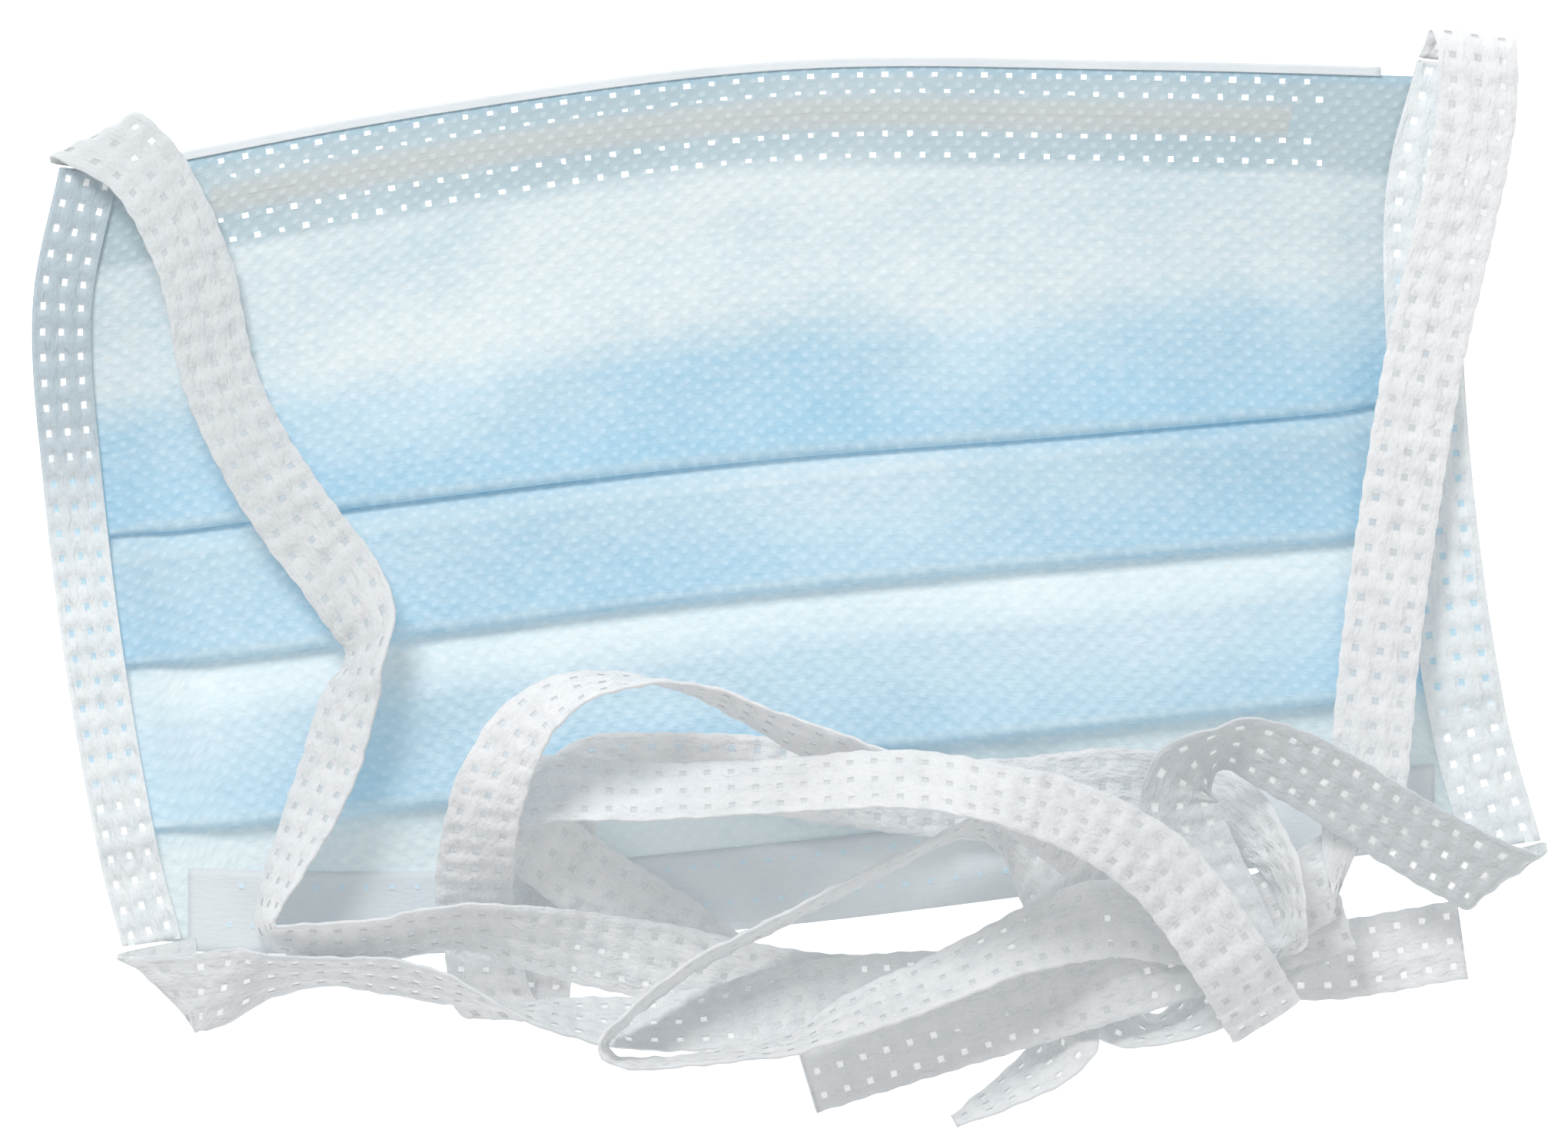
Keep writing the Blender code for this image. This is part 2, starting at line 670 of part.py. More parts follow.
def settle(routes, tree):
    """Lays the straps on what is under them. Where two cross, the one that its table puts higher
    lies over the other, and both give way until they are clear."""
    first = np.cumsum([0] + [len(samples) for samples in routes])
    table = np.concatenate([samples[:, 2] for samples in routes])
    owner = np.concatenate([[i] * len(samples) for i, samples in enumerate(routes)])
    walked = np.concatenate([
        np.concatenate(([0.0], np.cumsum(np.linalg.norm(np.diff(samples[:, :3], axis=0), axis=1))))
        for samples in routes
    ])
    points = []
    for i, samples in enumerate(routes):
        places = strap_points(samples)
        places[:, 0] += first[i]
        points.append(places)
    points = np.concatenate(points)
    section = points[:, 0].astype(int)
    ahead, offset = points[:, 1], points[:, 4]
    lowest = np.full(len(table), 0.0)
    for k, t, x, y, rise in points:
        k = int(k)
        if walked[k] < START_ROOM:
            continue
        level = ground_at(tree, x, y) + TAPE_WALL / 2 + NEIGHBOUR_GAP - rise
        lowest[k] = max(lowest[k], level)
        lowest[k + 1] = max(lowest[k + 1], level)
    near = KDTree(len(points))
    for i, (_, _, x, y, _) in enumerate(points):
        near.insert((x, y, 0.0), i)
    near.balance()
    pairs = []
    for i, (_, _, x, y, _) in enumerate(points):
        for _, j, _ in near.find_range((x, y, 0.0), PROBE_REACH):
            a, b = section[i], section[j]
            if j <= i or walked[a] < START_ROOM or walked[b] < START_ROOM:
                continue
            if owner[a] == owner[b] and abs(walked[a] - walked[b]) < SELF_ROOM:
                continue
            pairs.append((i, j))
    pairs = np.array(pairs)
    one, two = pairs[:, 0], pairs[:, 1]

    def level_of(heights, which):
        k = section[which]
        return heights[k] * (1.0 - ahead[which]) + heights[k + 1] * ahead[which] + offset[which]

    start = np.maximum(table, lowest)
    above = level_of(table, one) - level_of(table, two)
    sign = crossing_order(section[one], section[two], above)
    over = np.where(sign > 0, section[one], section[two])
    under = np.where(sign > 0, section[two], section[one])
    heights = start.copy()
    inner = np.ones(len(heights), dtype=bool)
    inner[first[:-1]] = False
    inner[first[1:] - 1] = False
    middle = np.nonzero(inner)[0]
    for step in range(SETTLE_STEPS):
        short = STRAP_ROOM - sign * (level_of(heights, one) - level_of(heights, two))
        short = np.maximum(0.0, short)
        up, down = np.zeros(len(heights)), np.zeros(len(heights))
        for extra in (0, 1):
            np.maximum.at(up, over + extra, short)
            np.maximum.at(down, under + extra, short)
        heights = heights + 0.5 * up - 0.3 * down
        if step < SETTLE_STEPS * 0.8:
            lift = heights - table
            eased = lift.copy()
            eased[middle] = (lift[middle - 1] + 2.0 * lift[middle] + lift[middle + 1]) / 4.0
            heights = table + eased
        heights = np.maximum(heights, lowest)
    settled = []
    for i, samples in enumerate(routes):
        samples = samples.copy()
        samples[:, 2] = heights[first[i]:first[i + 1]]
        settled.append(samples)
    return settled


def tie(name, samples, material):
    """A flat strap swept through its sections."""
    half, normal = spans_of(samples)
    centre = samples[:, :3]
    face = normal * (TAPE_WALL / 2)
    rings = []
    for c, h, f in zip(centre, half, face):
        rings.append([c - h - f, c + h - f, c + h + f, c - h + f])
    return loft(name, rings, material)


def tree_of(pieces):
    """A search tree of the faces of all the pieces."""
    points, faces = [], []
    for piece in pieces:
        first = len(points)
        points += [vertex.co.copy() for vertex in piece.data.vertices]
        faces += [[first + i for i in face.vertices] for face in piece.data.polygons]
    return BVHTree.FromPolygons(points, faces)


def plastic(name, colour, roughness):
    """A plain material of one colour."""
    made = bpy.data.materials.new(name)
    made.use_nodes = True
    shader = made.node_tree.nodes["Principled BSDF"]
    shader.inputs["Base Color"].default_value = colour
    shader.inputs["Roughness"].default_value = roughness
    made.diffuse_color = colour
    return made


def main():
    """Builds every piece and stands the whole on the middle of its footprint."""
    for old in list(bpy.data.objects):
        bpy.data.objects.remove(old)
    white = COLOURS["white"]
    strap = COLOURS["tie_white"]
    left_ends = (LEFT_SIDE[0][0] * MASK_HEIGHT, LEFT_SIDE[-1][0] * MASK_HEIGHT)
    right_ends = (RIGHT_SIDE[0][0] * MASK_HEIGHT, RIGHT_SIDE[-1][0] * MASK_HEIGHT)
    casing = WIRE_THICKNESS + NEIGHBOUR_GAP
    pieces = [
        mask_body(plastic("mask_body", COLOURS["sky_blue"], 0.8)),
        nose_wire(plastic("nose_wire", COLOURS["wire_grey"], 0.5)),
        hem("top_hem", TOP_EDGE, -1, TOP_HEM_FRONT, TOP_HEM_BACK, casing,
            plastic("top_hem", white, 0.8)),
        hem("bottom_hem", BOTTOM_EDGE, 1, BOTTOM_HEM_FRONT, BOTTOM_HEM_BACK, 0.0,
            plastic("bottom_hem", white, 0.8)),
        binding("left_binding", LEFT_SIDE, LEFT_BINDING_SHARE, -1, *left_ends,
                plastic("left_binding", white, 0.8)),
        binding("right_binding", RIGHT_SIDE, RIGHT_BINDING_SHARE, 1, *right_ends,
                plastic("right_binding", white, 0.8)),
    ]
    names = ("upper_left_tie", "lower_left_tie", "upper_right_tie", "lower_right_tie")
    routes = [route(rows) for rows in (UPPER_LEFT_TIE, LOWER_LEFT_TIE, UPPER_RIGHT_TIE, LOWER_RIGHT_TIE)]
    for name, samples in zip(names, settle(routes, tree_of(pieces))):
        pieces.append(tie(name, samples, plastic(name, strap, 0.8)))
    group = bpy.data.collections.new("surgical_face_mask")
    bpy.context.scene.collection.children.link(group)
    points = np.array([tuple(v.co) for piece in pieces for v in piece.data.vertices])
    low, high = points.min(axis=0), points.max(axis=0)
    shift = Vector((-(low[0] + high[0]) / 2, -(low[1] + high[1]) / 2, -low[2]))
    for piece in pieces:
        for vertex in piece.data.vertices:
            vertex.co += shift
        group.objects.link(piece)


main()
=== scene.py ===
"""A tie-on surgical face mask that lies flat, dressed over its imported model.

The cloth, hems, bindings and ties are soft, so each is made again here in fine mesh, where its CAD
solid lies. Sizes are in metres. +X runs along the mask's width and +Y towards its nose edge.
"""

import logging
import math
from dataclasses import dataclass, field
from enum import Enum
from typing import Any, Sequence

import bpy
import numpy as np
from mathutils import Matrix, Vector
from mathutils.bvhtree import BVHTree
from mathutils.kdtree import KDTree


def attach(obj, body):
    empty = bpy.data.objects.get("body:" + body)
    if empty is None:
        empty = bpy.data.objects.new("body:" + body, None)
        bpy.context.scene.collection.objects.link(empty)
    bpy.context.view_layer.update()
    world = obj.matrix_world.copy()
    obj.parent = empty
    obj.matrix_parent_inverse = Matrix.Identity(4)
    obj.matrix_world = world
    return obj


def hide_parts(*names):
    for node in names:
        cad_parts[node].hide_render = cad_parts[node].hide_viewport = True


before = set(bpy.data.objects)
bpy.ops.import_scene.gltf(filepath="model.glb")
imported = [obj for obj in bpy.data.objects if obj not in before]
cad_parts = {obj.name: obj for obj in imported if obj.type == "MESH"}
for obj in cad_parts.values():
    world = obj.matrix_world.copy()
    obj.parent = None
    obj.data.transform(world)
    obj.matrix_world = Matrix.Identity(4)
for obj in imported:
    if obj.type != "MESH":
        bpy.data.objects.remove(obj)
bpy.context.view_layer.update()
log = logging.getLogger("face_mask")

Row = tuple[float, ...]
Rows = tuple[Row, ...]

# The mask and its cloth
MASK_WIDTH = 0.180
MASK_HEIGHT = 0.100
CLOTH_WALL = 0.0010
LAYER_GAP = 0.00025
PRESSED = 0.5
PRESSED_REACH = 0.010
PLEAT_DEPTH = 0.012
DOME_RISE = 0.009
DOME_FLATNESS = 2.5
DOME_ROUNDNESS = 1.3
DOME_MARGIN = 0.004
NEIGHBOUR_GAP = 0.0003
HEM_END_ROOM = 0.0008
HEM_WALL = 0.0010
WIRE_THICKNESS = 0.0008
CASING_ROOM = WIRE_THICKNESS + NEIGHBOUR_GAP
WIRE_DEPTH = 0.0070
CLOTH_START = 0.0009
CASING_END = 0.0121
TIE_WIDTH = 0.010
TAPE_WALL = 0.0010
TAPE_PITCH = 0.003175
HOLE_SIZE = 0.00088
HOLE_ROWS = (-TAPE_PITCH, 0.0, TAPE_PITCH)
ON_TABLE = Vector((-0.000731, 0.000818, 0.0))  # from the mask's own middle to the footprint's

LINE_STATIONS = (-0.5, -0.25, 0.0, 0.25, 0.5)
TOP_EDGE = (0.500, 0.585, 0.642, 0.642, 0.630)
PLEATS = (
    (0.043, 0.098, 0.147, 0.181, 0.219),
    (-0.121, -0.070, -0.018, 0.022, 0.059),
    (-0.327, -0.282, -0.228, -0.184, -0.140),
)
BOTTOM_EDGE = (-0.478, -0.485, -0.449, -0.394, -0.341)
LEFT_SIDE = (
    (0.504, -0.487),
    (0.330, -0.506),
    (0.120, -0.499),
    (-0.130, -0.482),
    (-0.370, -0.458),
    (-0.471, -0.443),
)
RIGHT_SIDE = (
    (0.637, 0.471),
    (0.480, 0.449),
    (0.280, 0.449),
    (0.040, 0.460),
    (-0.200, 0.481),
    (-0.349, 0.504),
)
DENTS = (
    # across, up, turn, long, broad, rise
    (0.060, 0.190, -42.0, 0.130, 0.022, 0.100),
    (0.150, 0.200, -35.0, 0.120, 0.020, -0.080),
    (-0.170, 0.150, 28.0, 0.150, 0.025, 0.080),
    (-0.060, 0.230, 12.0, 0.160, 0.020, -0.070),
    (0.260, 0.090, -20.0, 0.110, 0.020, 0.060),
)

# The ties. Each row: across as a share of the mask's width, up as a share of its height, rise above
# the mask's dome as a share of the tie's width, the plan direction of the tie's breadth and the
# slope of that breadth in degrees
UPPER_LEFT_TIE = (
    (-0.486, 0.507, 0.22, 172, 0),
    (-0.485, 0.545, 0.42, 206, 0),
    (-0.460, 0.526, 0.66, 225, 8),
    (-0.442, 0.492, 0.78, 223, 18),
    (-0.412, 0.380, 0.86, 202, 24),
    (-0.395, 0.244, 0.88, 196, 22),
    (-0.373, 0.156, 0.88, 203, 18),
    (-0.340, 0.062, 0.82, 215, 5),
    (-0.306, -0.019, 0.78, 228, 0),
    (-0.289, -0.079, 0.92, 215, -42),
    (-0.294, -0.120, 1.00, 185, -60),
    (-0.304, -0.169, 0.95, 163, -45),
    (-0.318, -0.251, 0.92, 161, -43),
    (-0.340, -0.344, 0.94, 159, -55),
    (-0.359, -0.418, 0.98, 168, -70),
    (-0.361, -0.455, 0.98, 215, -75),
    (-0.339, -0.467, 0.98, 262, -64),
    (-0.281, -0.464, 1.05, 270, -60),
    (-0.227, -0.449, 1.38, 275, -56),
    (-0.178, -0.463, 1.32, 262, -39),
    (-0.124, -0.482, 0.98, 260, -20),
    (-0.081, -0.496, 0.70, 259, -10),
    (-0.038, -0.514, 0.46, 258, -6),
    (0.005, -0.529, 0.38, 258, 0),
    (0.030, -0.534, 0.34, 258, 0),
    (0.044, -0.536, 0.20, 258, 0),
    (0.028, -0.538, 0.06, 256, 0),
    (-0.016, -0.538, 0.10, 246, 0),
    (-0.066, -0.473, 0.48, 238, 0),
    (-0.103, -0.430, 0.62, 240, 5),
    (-0.135, -0.393, 0.72, 240, 5),
    (-0.164, -0.354, 0.86, 240, 6),
    (-0.200, -0.298, 1.06, 256, 8),
    (-0.172, -0.277, 1.34, 268, 32),
    (-0.092, -0.279, 1.66, 270, 46),
    (-0.005, -0.271, 1.98, 272, 50),
    (0.086, -0.262, 2.24, 271, 46),
    (0.146, -0.279, 2.22, 262, 44),
    (0.200, -0.308, 2.14, 246, 36),
    (0.243, -0.349, 2.02, 232, 26),
    (0.271, -0.392, 1.90, 222, 15),
    (0.305, -0.475, 1.72, 214, 5),
    (0.337, -0.567, 1.00, 212, 0),
)
LOWER_LEFT_TIE = (
    (-0.440, -0.476, 0.22, 12, 0),
    (-0.435, -0.529, 0.42, -43, 0),
    (-0.400, -0.530, 0.64, -98, -15),
    (-0.369, -0.516, 0.76, -92, -48),
    (-0.329, -0.507, 0.58, -88, -68),
    (-0.278, -0.512, 0.64, -97, -64),
    (-0.228, -0.532, 0.92, -103, -72),
    (-0.194, -0.552, 0.94, -105, -90),
    (-0.165, -0.558, 0.84, -97, -110),
    (-0.135, -0.566, 0.52, -92, -122),
    (-0.103, -0.570, 0.50, -88, -130),
    (-0.043, -0.562, 1.00, -82, -142),
    (0.005, -0.542, 0.84, -82, -154),
    (0.049, -0.536, 0.50, -85, -170),
    (0.103, -0.531, 0.14, -90, -180),
    (0.156, -0.531, 0.07, -92, -180),
    (0.202, -0.533, 0.08, -98, -176),
    (0.232, -0.550, 0.34, -112, -150),
    (0.255, -0.580, 0.54, -92, -112),
    (0.281, -0.567, 0.60, -55, -118),
    (0.306, -0.525, 0.66, -55, -160),
    (0.345, -0.475, 0.70, -65, -180),
    (0.386, -0.433, 0.74, -72, -180),
    (0.391, -0.430, 0.88, -72, -180),
    (0.386, -0.433, 1.02, -72, -180),
    (0.361, -0.447, 1.05, -73, -180),
    (0.291, -0.485, 1.14, -73, -180),
    (0.232, -0.517, 1.12, -73, -180),
    (0.173, -0.549, 0.66, -73, -180),
    (0.097, -0.590, 0.38, -73, -180),
    (0.015, -0.635, 0.26, -73, -180),
)
UPPER_RIGHT_TIE = (
    (0.474, 0.642, 0.22, 174, 0),
    (0.483, 0.675, 0.42, 172, 0),
    (0.486, 0.632, 0.64, 172, 0),
    (0.484, 0.563, 0.66, 170, 0),
    (0.469, 0.428, 0.68, 167, 0),
    (0.448, 0.263, 0.70, 168, 0),
    (0.428, 0.043, 0.72, 169, 0),
    (0.417, -0.101, 0.72, 172, 0),
    (0.411, -0.213, 0.78, 174, 0),
    (0.406, -0.293, 0.88, 178, 0),
    (0.398, -0.360, 0.70, 241, 0),
    (0.360, -0.409, 0.48, 306, 0),
    (0.328, -0.436, 0.48, 285, 0),
    (0.281, -0.448, 0.62, 268, 0),
    (0.227, -0.438, 0.90, 278, 6),
    (0.169, -0.467, 1.02, 294, 40),
    (0.102, -0.520, 0.98, 294, 54),
    (0.043, -0.562, 1.20, 288, 64),
    (0.005, -0.594, 0.98, 281, 76),
    (-0.032, -0.606, 0.66, 276, 82),
    (-0.086, -0.618, 0.66, 268, 85),
    (-0.117, -0.615, 1.05, 225, 85),
    (-0.125, -0.591, 1.55, 170, 85),
    (-0.111, -0.564, 1.60, 132, 84),
    (-0.065, -0.499, 1.56, 120, 82),
    (-0.011, -0.449, 1.46, 118, 82),
    (0.070, -0.375, 1.34, 118, 82),
    (0.124, -0.329, 1.24, 115, 80),
    (0.144, -0.326, 1.00, 104, 62),
    (0.170, -0.350, 0.64, 72, 24),
    (0.191, -0.402, 0.56, 38, 4),
    (0.197, -0.475, 0.28, 10, 0),
    (0.193, -0.543, 0.26, -12, 4),
    (0.194, -0.603, 0.36, -44, 44),
    (0.162, -0.650, 0.50, -56, 64),
    (0.119, -0.696, 0.54, -58, 85),
)
LOWER_RIGHT_TIE = (
    (0.507, -0.359, 0.22, 15, 0),
    (0.505, -0.392, 0.52, 36, 0),
    (0.469, -0.366, 0.86, 60, 12),
    (0.421, -0.316, 1.18, 61, 19),
    (0.373, -0.263, 1.38, 60, 22),
    (0.335, -0.230, 1.54, 66, 34),
    (0.313, -0.219, 1.64, 80, 50),
    (0.301, -0.226, 1.70, 95, 60),
    (0.282, -0.254, 1.58, 135, 36),
    (0.276, -0.298, 1.44, 185, 8),
    (0.291, -0.368, 1.42, 200, 0),
    (0.309, -0.436, 1.42, 200, 0),
    (0.327, -0.494, 1.36, 197, -12),
    (0.354, -0.446, 1.68, 188, -72),
    (0.350, -0.392, 1.50, 182, -68),
    (0.334, -0.344, 1.15, 211, -55),
    (0.310, -0.300, 0.88, 238, -32),
    (0.270, -0.279, 0.76, 262, -20),
    (0.227, -0.273, 0.72, 270, -16),
    (0.167, -0.286, 0.66, 268, -10),
    (0.105, -0.287, 0.62, 268, -6),
    (0.043, -0.273, 0.60, 262, -5),
    (-0.011, -0.259, 0.64, 264, -10),
    (-0.054, -0.254, 0.70, 268, -15),
    (-0.092, -0.252, 0.72, 276, -20),
    (-0.127, -0.254, 0.70, 300, -20),
    (-0.148, -0.276, 0.64, 330, -12),
    (-0.159, -0.324, 0.57, 350, -4),
    (-0.168, -0.383, 0.48, 355, 0),
    (-0.173, -0.446, 0.45, 355, 0),
    (-0.176, -0.483, 0.43, 355, 0),
    (-0.178, -0.527, 0.08, 355, 0),
    (-0.193, -0.566, 0.19, 358, 0),
    (-0.207, -0.527, 0.30, 358, 0),
    (-0.209, -0.483, 0.60, 358, 0),
    (-0.216, -0.417, 0.90, 360, 8),
    (-0.214, -0.353, 1.45, 356, 28),
    (-0.201, -0.261, 2.05, 344, 34),
    (-0.175, -0.184, 2.20, 318, 48),
    (-0.143, -0.148, 2.15, 292, 66),
    (-0.092, -0.140, 1.92, 265, 88),
    (-0.051, -0.157, 1.78, 248, 101),
    (-0.011, -0.191, 1.62, 242, 108),
    (0.030, -0.224, 1.44, 242, 118),
    (0.059, -0.247, 1.30, 256, 122),
    (0.097, -0.263, 1.24, 264, 124),
    (0.146, -0.281, 1.26, 256, 128),
    (0.189, -0.318, 1.10, 244, 152),
    (0.221, -0.356, 0.74, 238, 176),
    (0.259, -0.412, 0.50, 232, 180),
    (0.297, -0.461, 0.28, 242, 180),
    (0.334, -0.487, 0.08, 260, 180),
    (0.378, -0.494, 0.06, 275, 180),
    (0.476, -0.467, 0.06, 278, 180),
)


def smooth(value: float) -> float:
    """A soft step from 0 to 1."""
    t = min(1.0, max(0.0, value))
    return t * t * (3.0 - 2.0 * t)


def curve_at(knots: Sequence[float], values: Sequence[float], at: float) -> float:
    """The smooth curve through values at knots, read at one place.

    Args:
        knots: The rising places of the values.
        values: One value at each knot.
        at: Where the curve is read.

    Returns:
        The curve's value there.
    """
    last = len(knots) - 1
    k = 0
    while k < last - 1 and at > knots[k + 1]:
        k += 1
    slopes = []
    for i in (k, k + 1):
        low, high = max(0, i - 1), min(last, i + 1)
        slopes.append((values[high] - values[low]) / (knots[high] - knots[low]))
    step = knots[k + 1] - knots[k]
    t = (at - knots[k]) / step
    if t <= 0.0:
        return values[k] + slopes[0] * (at - knots[k])
    if t >= 1.0:
        return values[k + 1] + slopes[1] * (at - knots[k + 1])
    h = t * t * (3.0 - 2.0 * t)
    rise = t * (1.0 - t) ** 2 * slopes[0] - t * t * (1.0 - t) * slopes[1]
    return values[k] * (1.0 - h) + values[k + 1] * h + rise * step


class Piece(Enum):
    """The CAD nodes by what they are."""

    CLOTH = "mask_body"
    WIRE = "nose_wire"
    TOP_HEM = "top_hem"
    BOTTOM_HEM = "bottom_hem"
    LEFT_BINDING = "left_binding"
    RIGHT_BINDING = "right_binding"
    UPPER_LEFT_TIE = "upper_left_tie"
    LOWER_LEFT_TIE = "lower_left_tie"
    UPPER_RIGHT_TIE = "upper_right_tie"
    LOWER_RIGHT_TIE = "lower_right_tie"


class Slot(Enum):
    """The record's material slots."""

    LAMINATE = "blue_laminate"
    LINING = "lining"
    BINDING = "binding_tape"
    TIE = "tie_tape"
    WIRE = "wire"


# ---- shader kit


class Value:
    """A shader socket that takes part in arithmetic."""

    def __init__(self, tree: bpy.types.NodeTree, socket: bpy.types.NodeSocket) -> None:
        """Wraps a socket of a tree."""
        self.tree = tree
        self.socket = socket

    def _math(self, operation: str, first: Any, second: Any = 0.0) -> "Value":
        """Adds a Math node over two values.

        Args:
            operation: The node's operation.
            first: A value or number.
            second: A value or number.

        Returns:
            The node's result.
        """
        node = self.tree.nodes.new("ShaderNodeMath")
        node.operation = operation
        for socket, value in zip(node.inputs, (first, second)):
            if isinstance(value, Value):
                self.tree.links.new(value.socket, socket)
            else:
                socket.default_value = float(value)
        return Value(self.tree, node.outputs[0])

    def __add__(self, other: Any) -> "Value":
        """Sum."""
        return self._math("ADD", self, other)

    def __sub__(self, other: Any) -> "Value":
        """Difference."""
        return self._math("SUBTRACT", self, other)

    def __rsub__(self, other: Any) -> "Value":
        """Difference, with a number first."""
        return self._math("SUBTRACT", other, self)

    def __mul__(self, other: Any) -> "Value":
        """Product."""
        return self._math("MULTIPLY", self, other)

    def __gt__(self, other: Any) -> "Value":
        """1 where this is the greater."""
        return self._math("GREATER_THAN", self, other)

    def __lt__(self, other: Any) -> "Value":
        """1 where this is the smaller."""
        return self._math("LESS_THAN", self, other)

    def sine(self) -> "Value":
        """Sine, in radians."""
        return self._math("SINE", self)

    def size(self) -> "Value":
        """Without its sign."""
        return self._math("ABSOLUTE", self)

    def greater(self, other: Any) -> "Value":
        """The greater of two."""
        return self._math("MAXIMUM", self, other)

    def repeated(self, pitch: float) -> "Value":
        """How far this is from the nearest middle of a cell, where cells repeat at a pitch."""
        return (self._math("FRACT", self * (1.0 / pitch)) - 0.5).size() * pitch

    def clamped(self) -> "Value":
        """Kept between 0 and 1."""
        return self._math("MINIMUM", self._math("MAXIMUM", self, 0.0), 1.0)


class Shader:
    """A material with one Principled shader, and the means to add to it."""

    def __init__(self, name: str) -> None:
        """Starts a material."""
        self.material = bpy.data.materials.new(name)
        self.material.use_nodes = True
        self.tree = self.material.node_tree
        self.principled = self.tree.nodes["Principled BSDF"]

    def node(self, kind: str, settings: dict[str, Any], inputs: dict[str, Any]) -> bpy.types.Node:
        """Adds a node.

        Args:
            kind: The node's type.
            settings: Its properties, set first. "stops" are a ramp's places and colours.
            inputs: Values or links of its sockets by name.

        Returns:
            The node.
        """
        made = self.tree.nodes.new(kind)
        for key, value in settings.items():
            if key == "stops":
                ramp = made.color_ramp
                while len(ramp.elements) < len(value):
                    ramp.elements.new(0.5)
                for element, (place, colour) in zip(ramp.elements, value):
                    element.position = place
                    element.color = (*colour, 1.0)
            else:
                setattr(made, key, value)
        for key, value in inputs.items():
            self.feed(made.inputs[key], value)
        return made

    def feed(self, socket: bpy.types.NodeSocket, value: Any) -> None:
        """Links a value into a socket, or sets it there. A colour of three numbers is opaque."""
        if socket.type == "RGBA" and isinstance(value, tuple):
            value = (*value, 1.0)
        if isinstance(value, Value):
            self.tree.links.new(value.socket, socket)
        elif isinstance(value, bpy.types.NodeSocket):
            self.tree.links.new(value, socket)
        else:
            socket.default_value = value

    def value(self, node: bpy.types.Node, output: str | int = 0) -> Value:
        """One output of a node as a value."""
        return Value(self.tree, node.outputs[output])

    def cloth_place(self) -> tuple[Value, Value, bpy.types.NodeSocket]:
        """The place on the cloth: across and along in metres, and both as a vector."""
        place = self.node("ShaderNodeUVMap", {"uv_map": "cloth"}, {})
        parts = self.node("ShaderNodeSeparateXYZ", {}, {"Vector": place.outputs[0]})
        return self.value(parts, 0), self.value(parts, 1), place.outputs[0]

    def noise(self, vector: Any, scale: float, detail: float, stretch: Row = (1.0, 1.0, 1.0)) -> Value:
        """Noise over a vector, from 0 to 1.

        Args:
            vector: What the noise is read at.
            scale: Cells a metre.
            detail: Octaves.
            stretch: Scale along each axis.

        Returns:
            The noise's value.
        """
        turned = self.node("ShaderNodeMapping", {}, {"Vector": vector, "Scale": stretch})
        made = self.node(
            "ShaderNodeTexNoise", {}, {"Vector": turned.outputs[0], "Scale": scale, "Detail": detail}
        )
        return self.value(made, 0)

    def mix(self, share: Any, first: Any, second: Any) -> bpy.types.NodeSocket:
        """A colour between two.

        Args:
            share: From 0, the first, to 1, the second.
            first: A colour or link.
            second: A colour or link.

        Returns:
            The mixed colour's socket.
        """
        made = self.tree.nodes.new("ShaderNodeMix")
        made.data_type = "RGBA"
        self.feed(made.inputs[0], share)
        self.feed(made.inputs[6], first)
        self.feed(made.inputs[7], second)
        return made.outputs[2]

    def attribute(self, name: str) -> Value:
        """A number that the mesh holds at each point."""
        made = self.node("ShaderNodeAttribute", {"attribute_name": name}, {})
        return self.value(made, "Fac")

    def bump(self, height: Any, distance: float, strength: float) -> None:
        """Lets a height move the surface's normal."""
        made = self.node(
            "ShaderNodeBump", {}, {"Height": height, "Distance": distance, "Strength": strength}
        )
        self.feed(self.principled.inputs["Normal"], made.outputs[0])

    def glow(self, colour: Any, strength: float) -> None:
        """Adds a glow: on cloth, tape and welds it is painted light, as thin cloth lets light through over a
        pale surface; on the table, an even light.
        """
        self.feed(self.principled.inputs["Emission Color"], colour)
        self.principled.inputs["Emission Strength"].default_value = strength

    def finish(self, colour: Any, roughness: Any, sheen: float = 0.0) -> bpy.types.Material:
        """Feeds the shader and hands out the material."""
        self.feed(self.principled.inputs["Base Color"], colour)
        self.feed(self.principled.inputs["Roughness"], roughness)
        self.principled.inputs["Sheen Weight"].default_value = sheen
        self.principled.inputs["Specular IOR Level"].default_value = 0.25
        return self.material


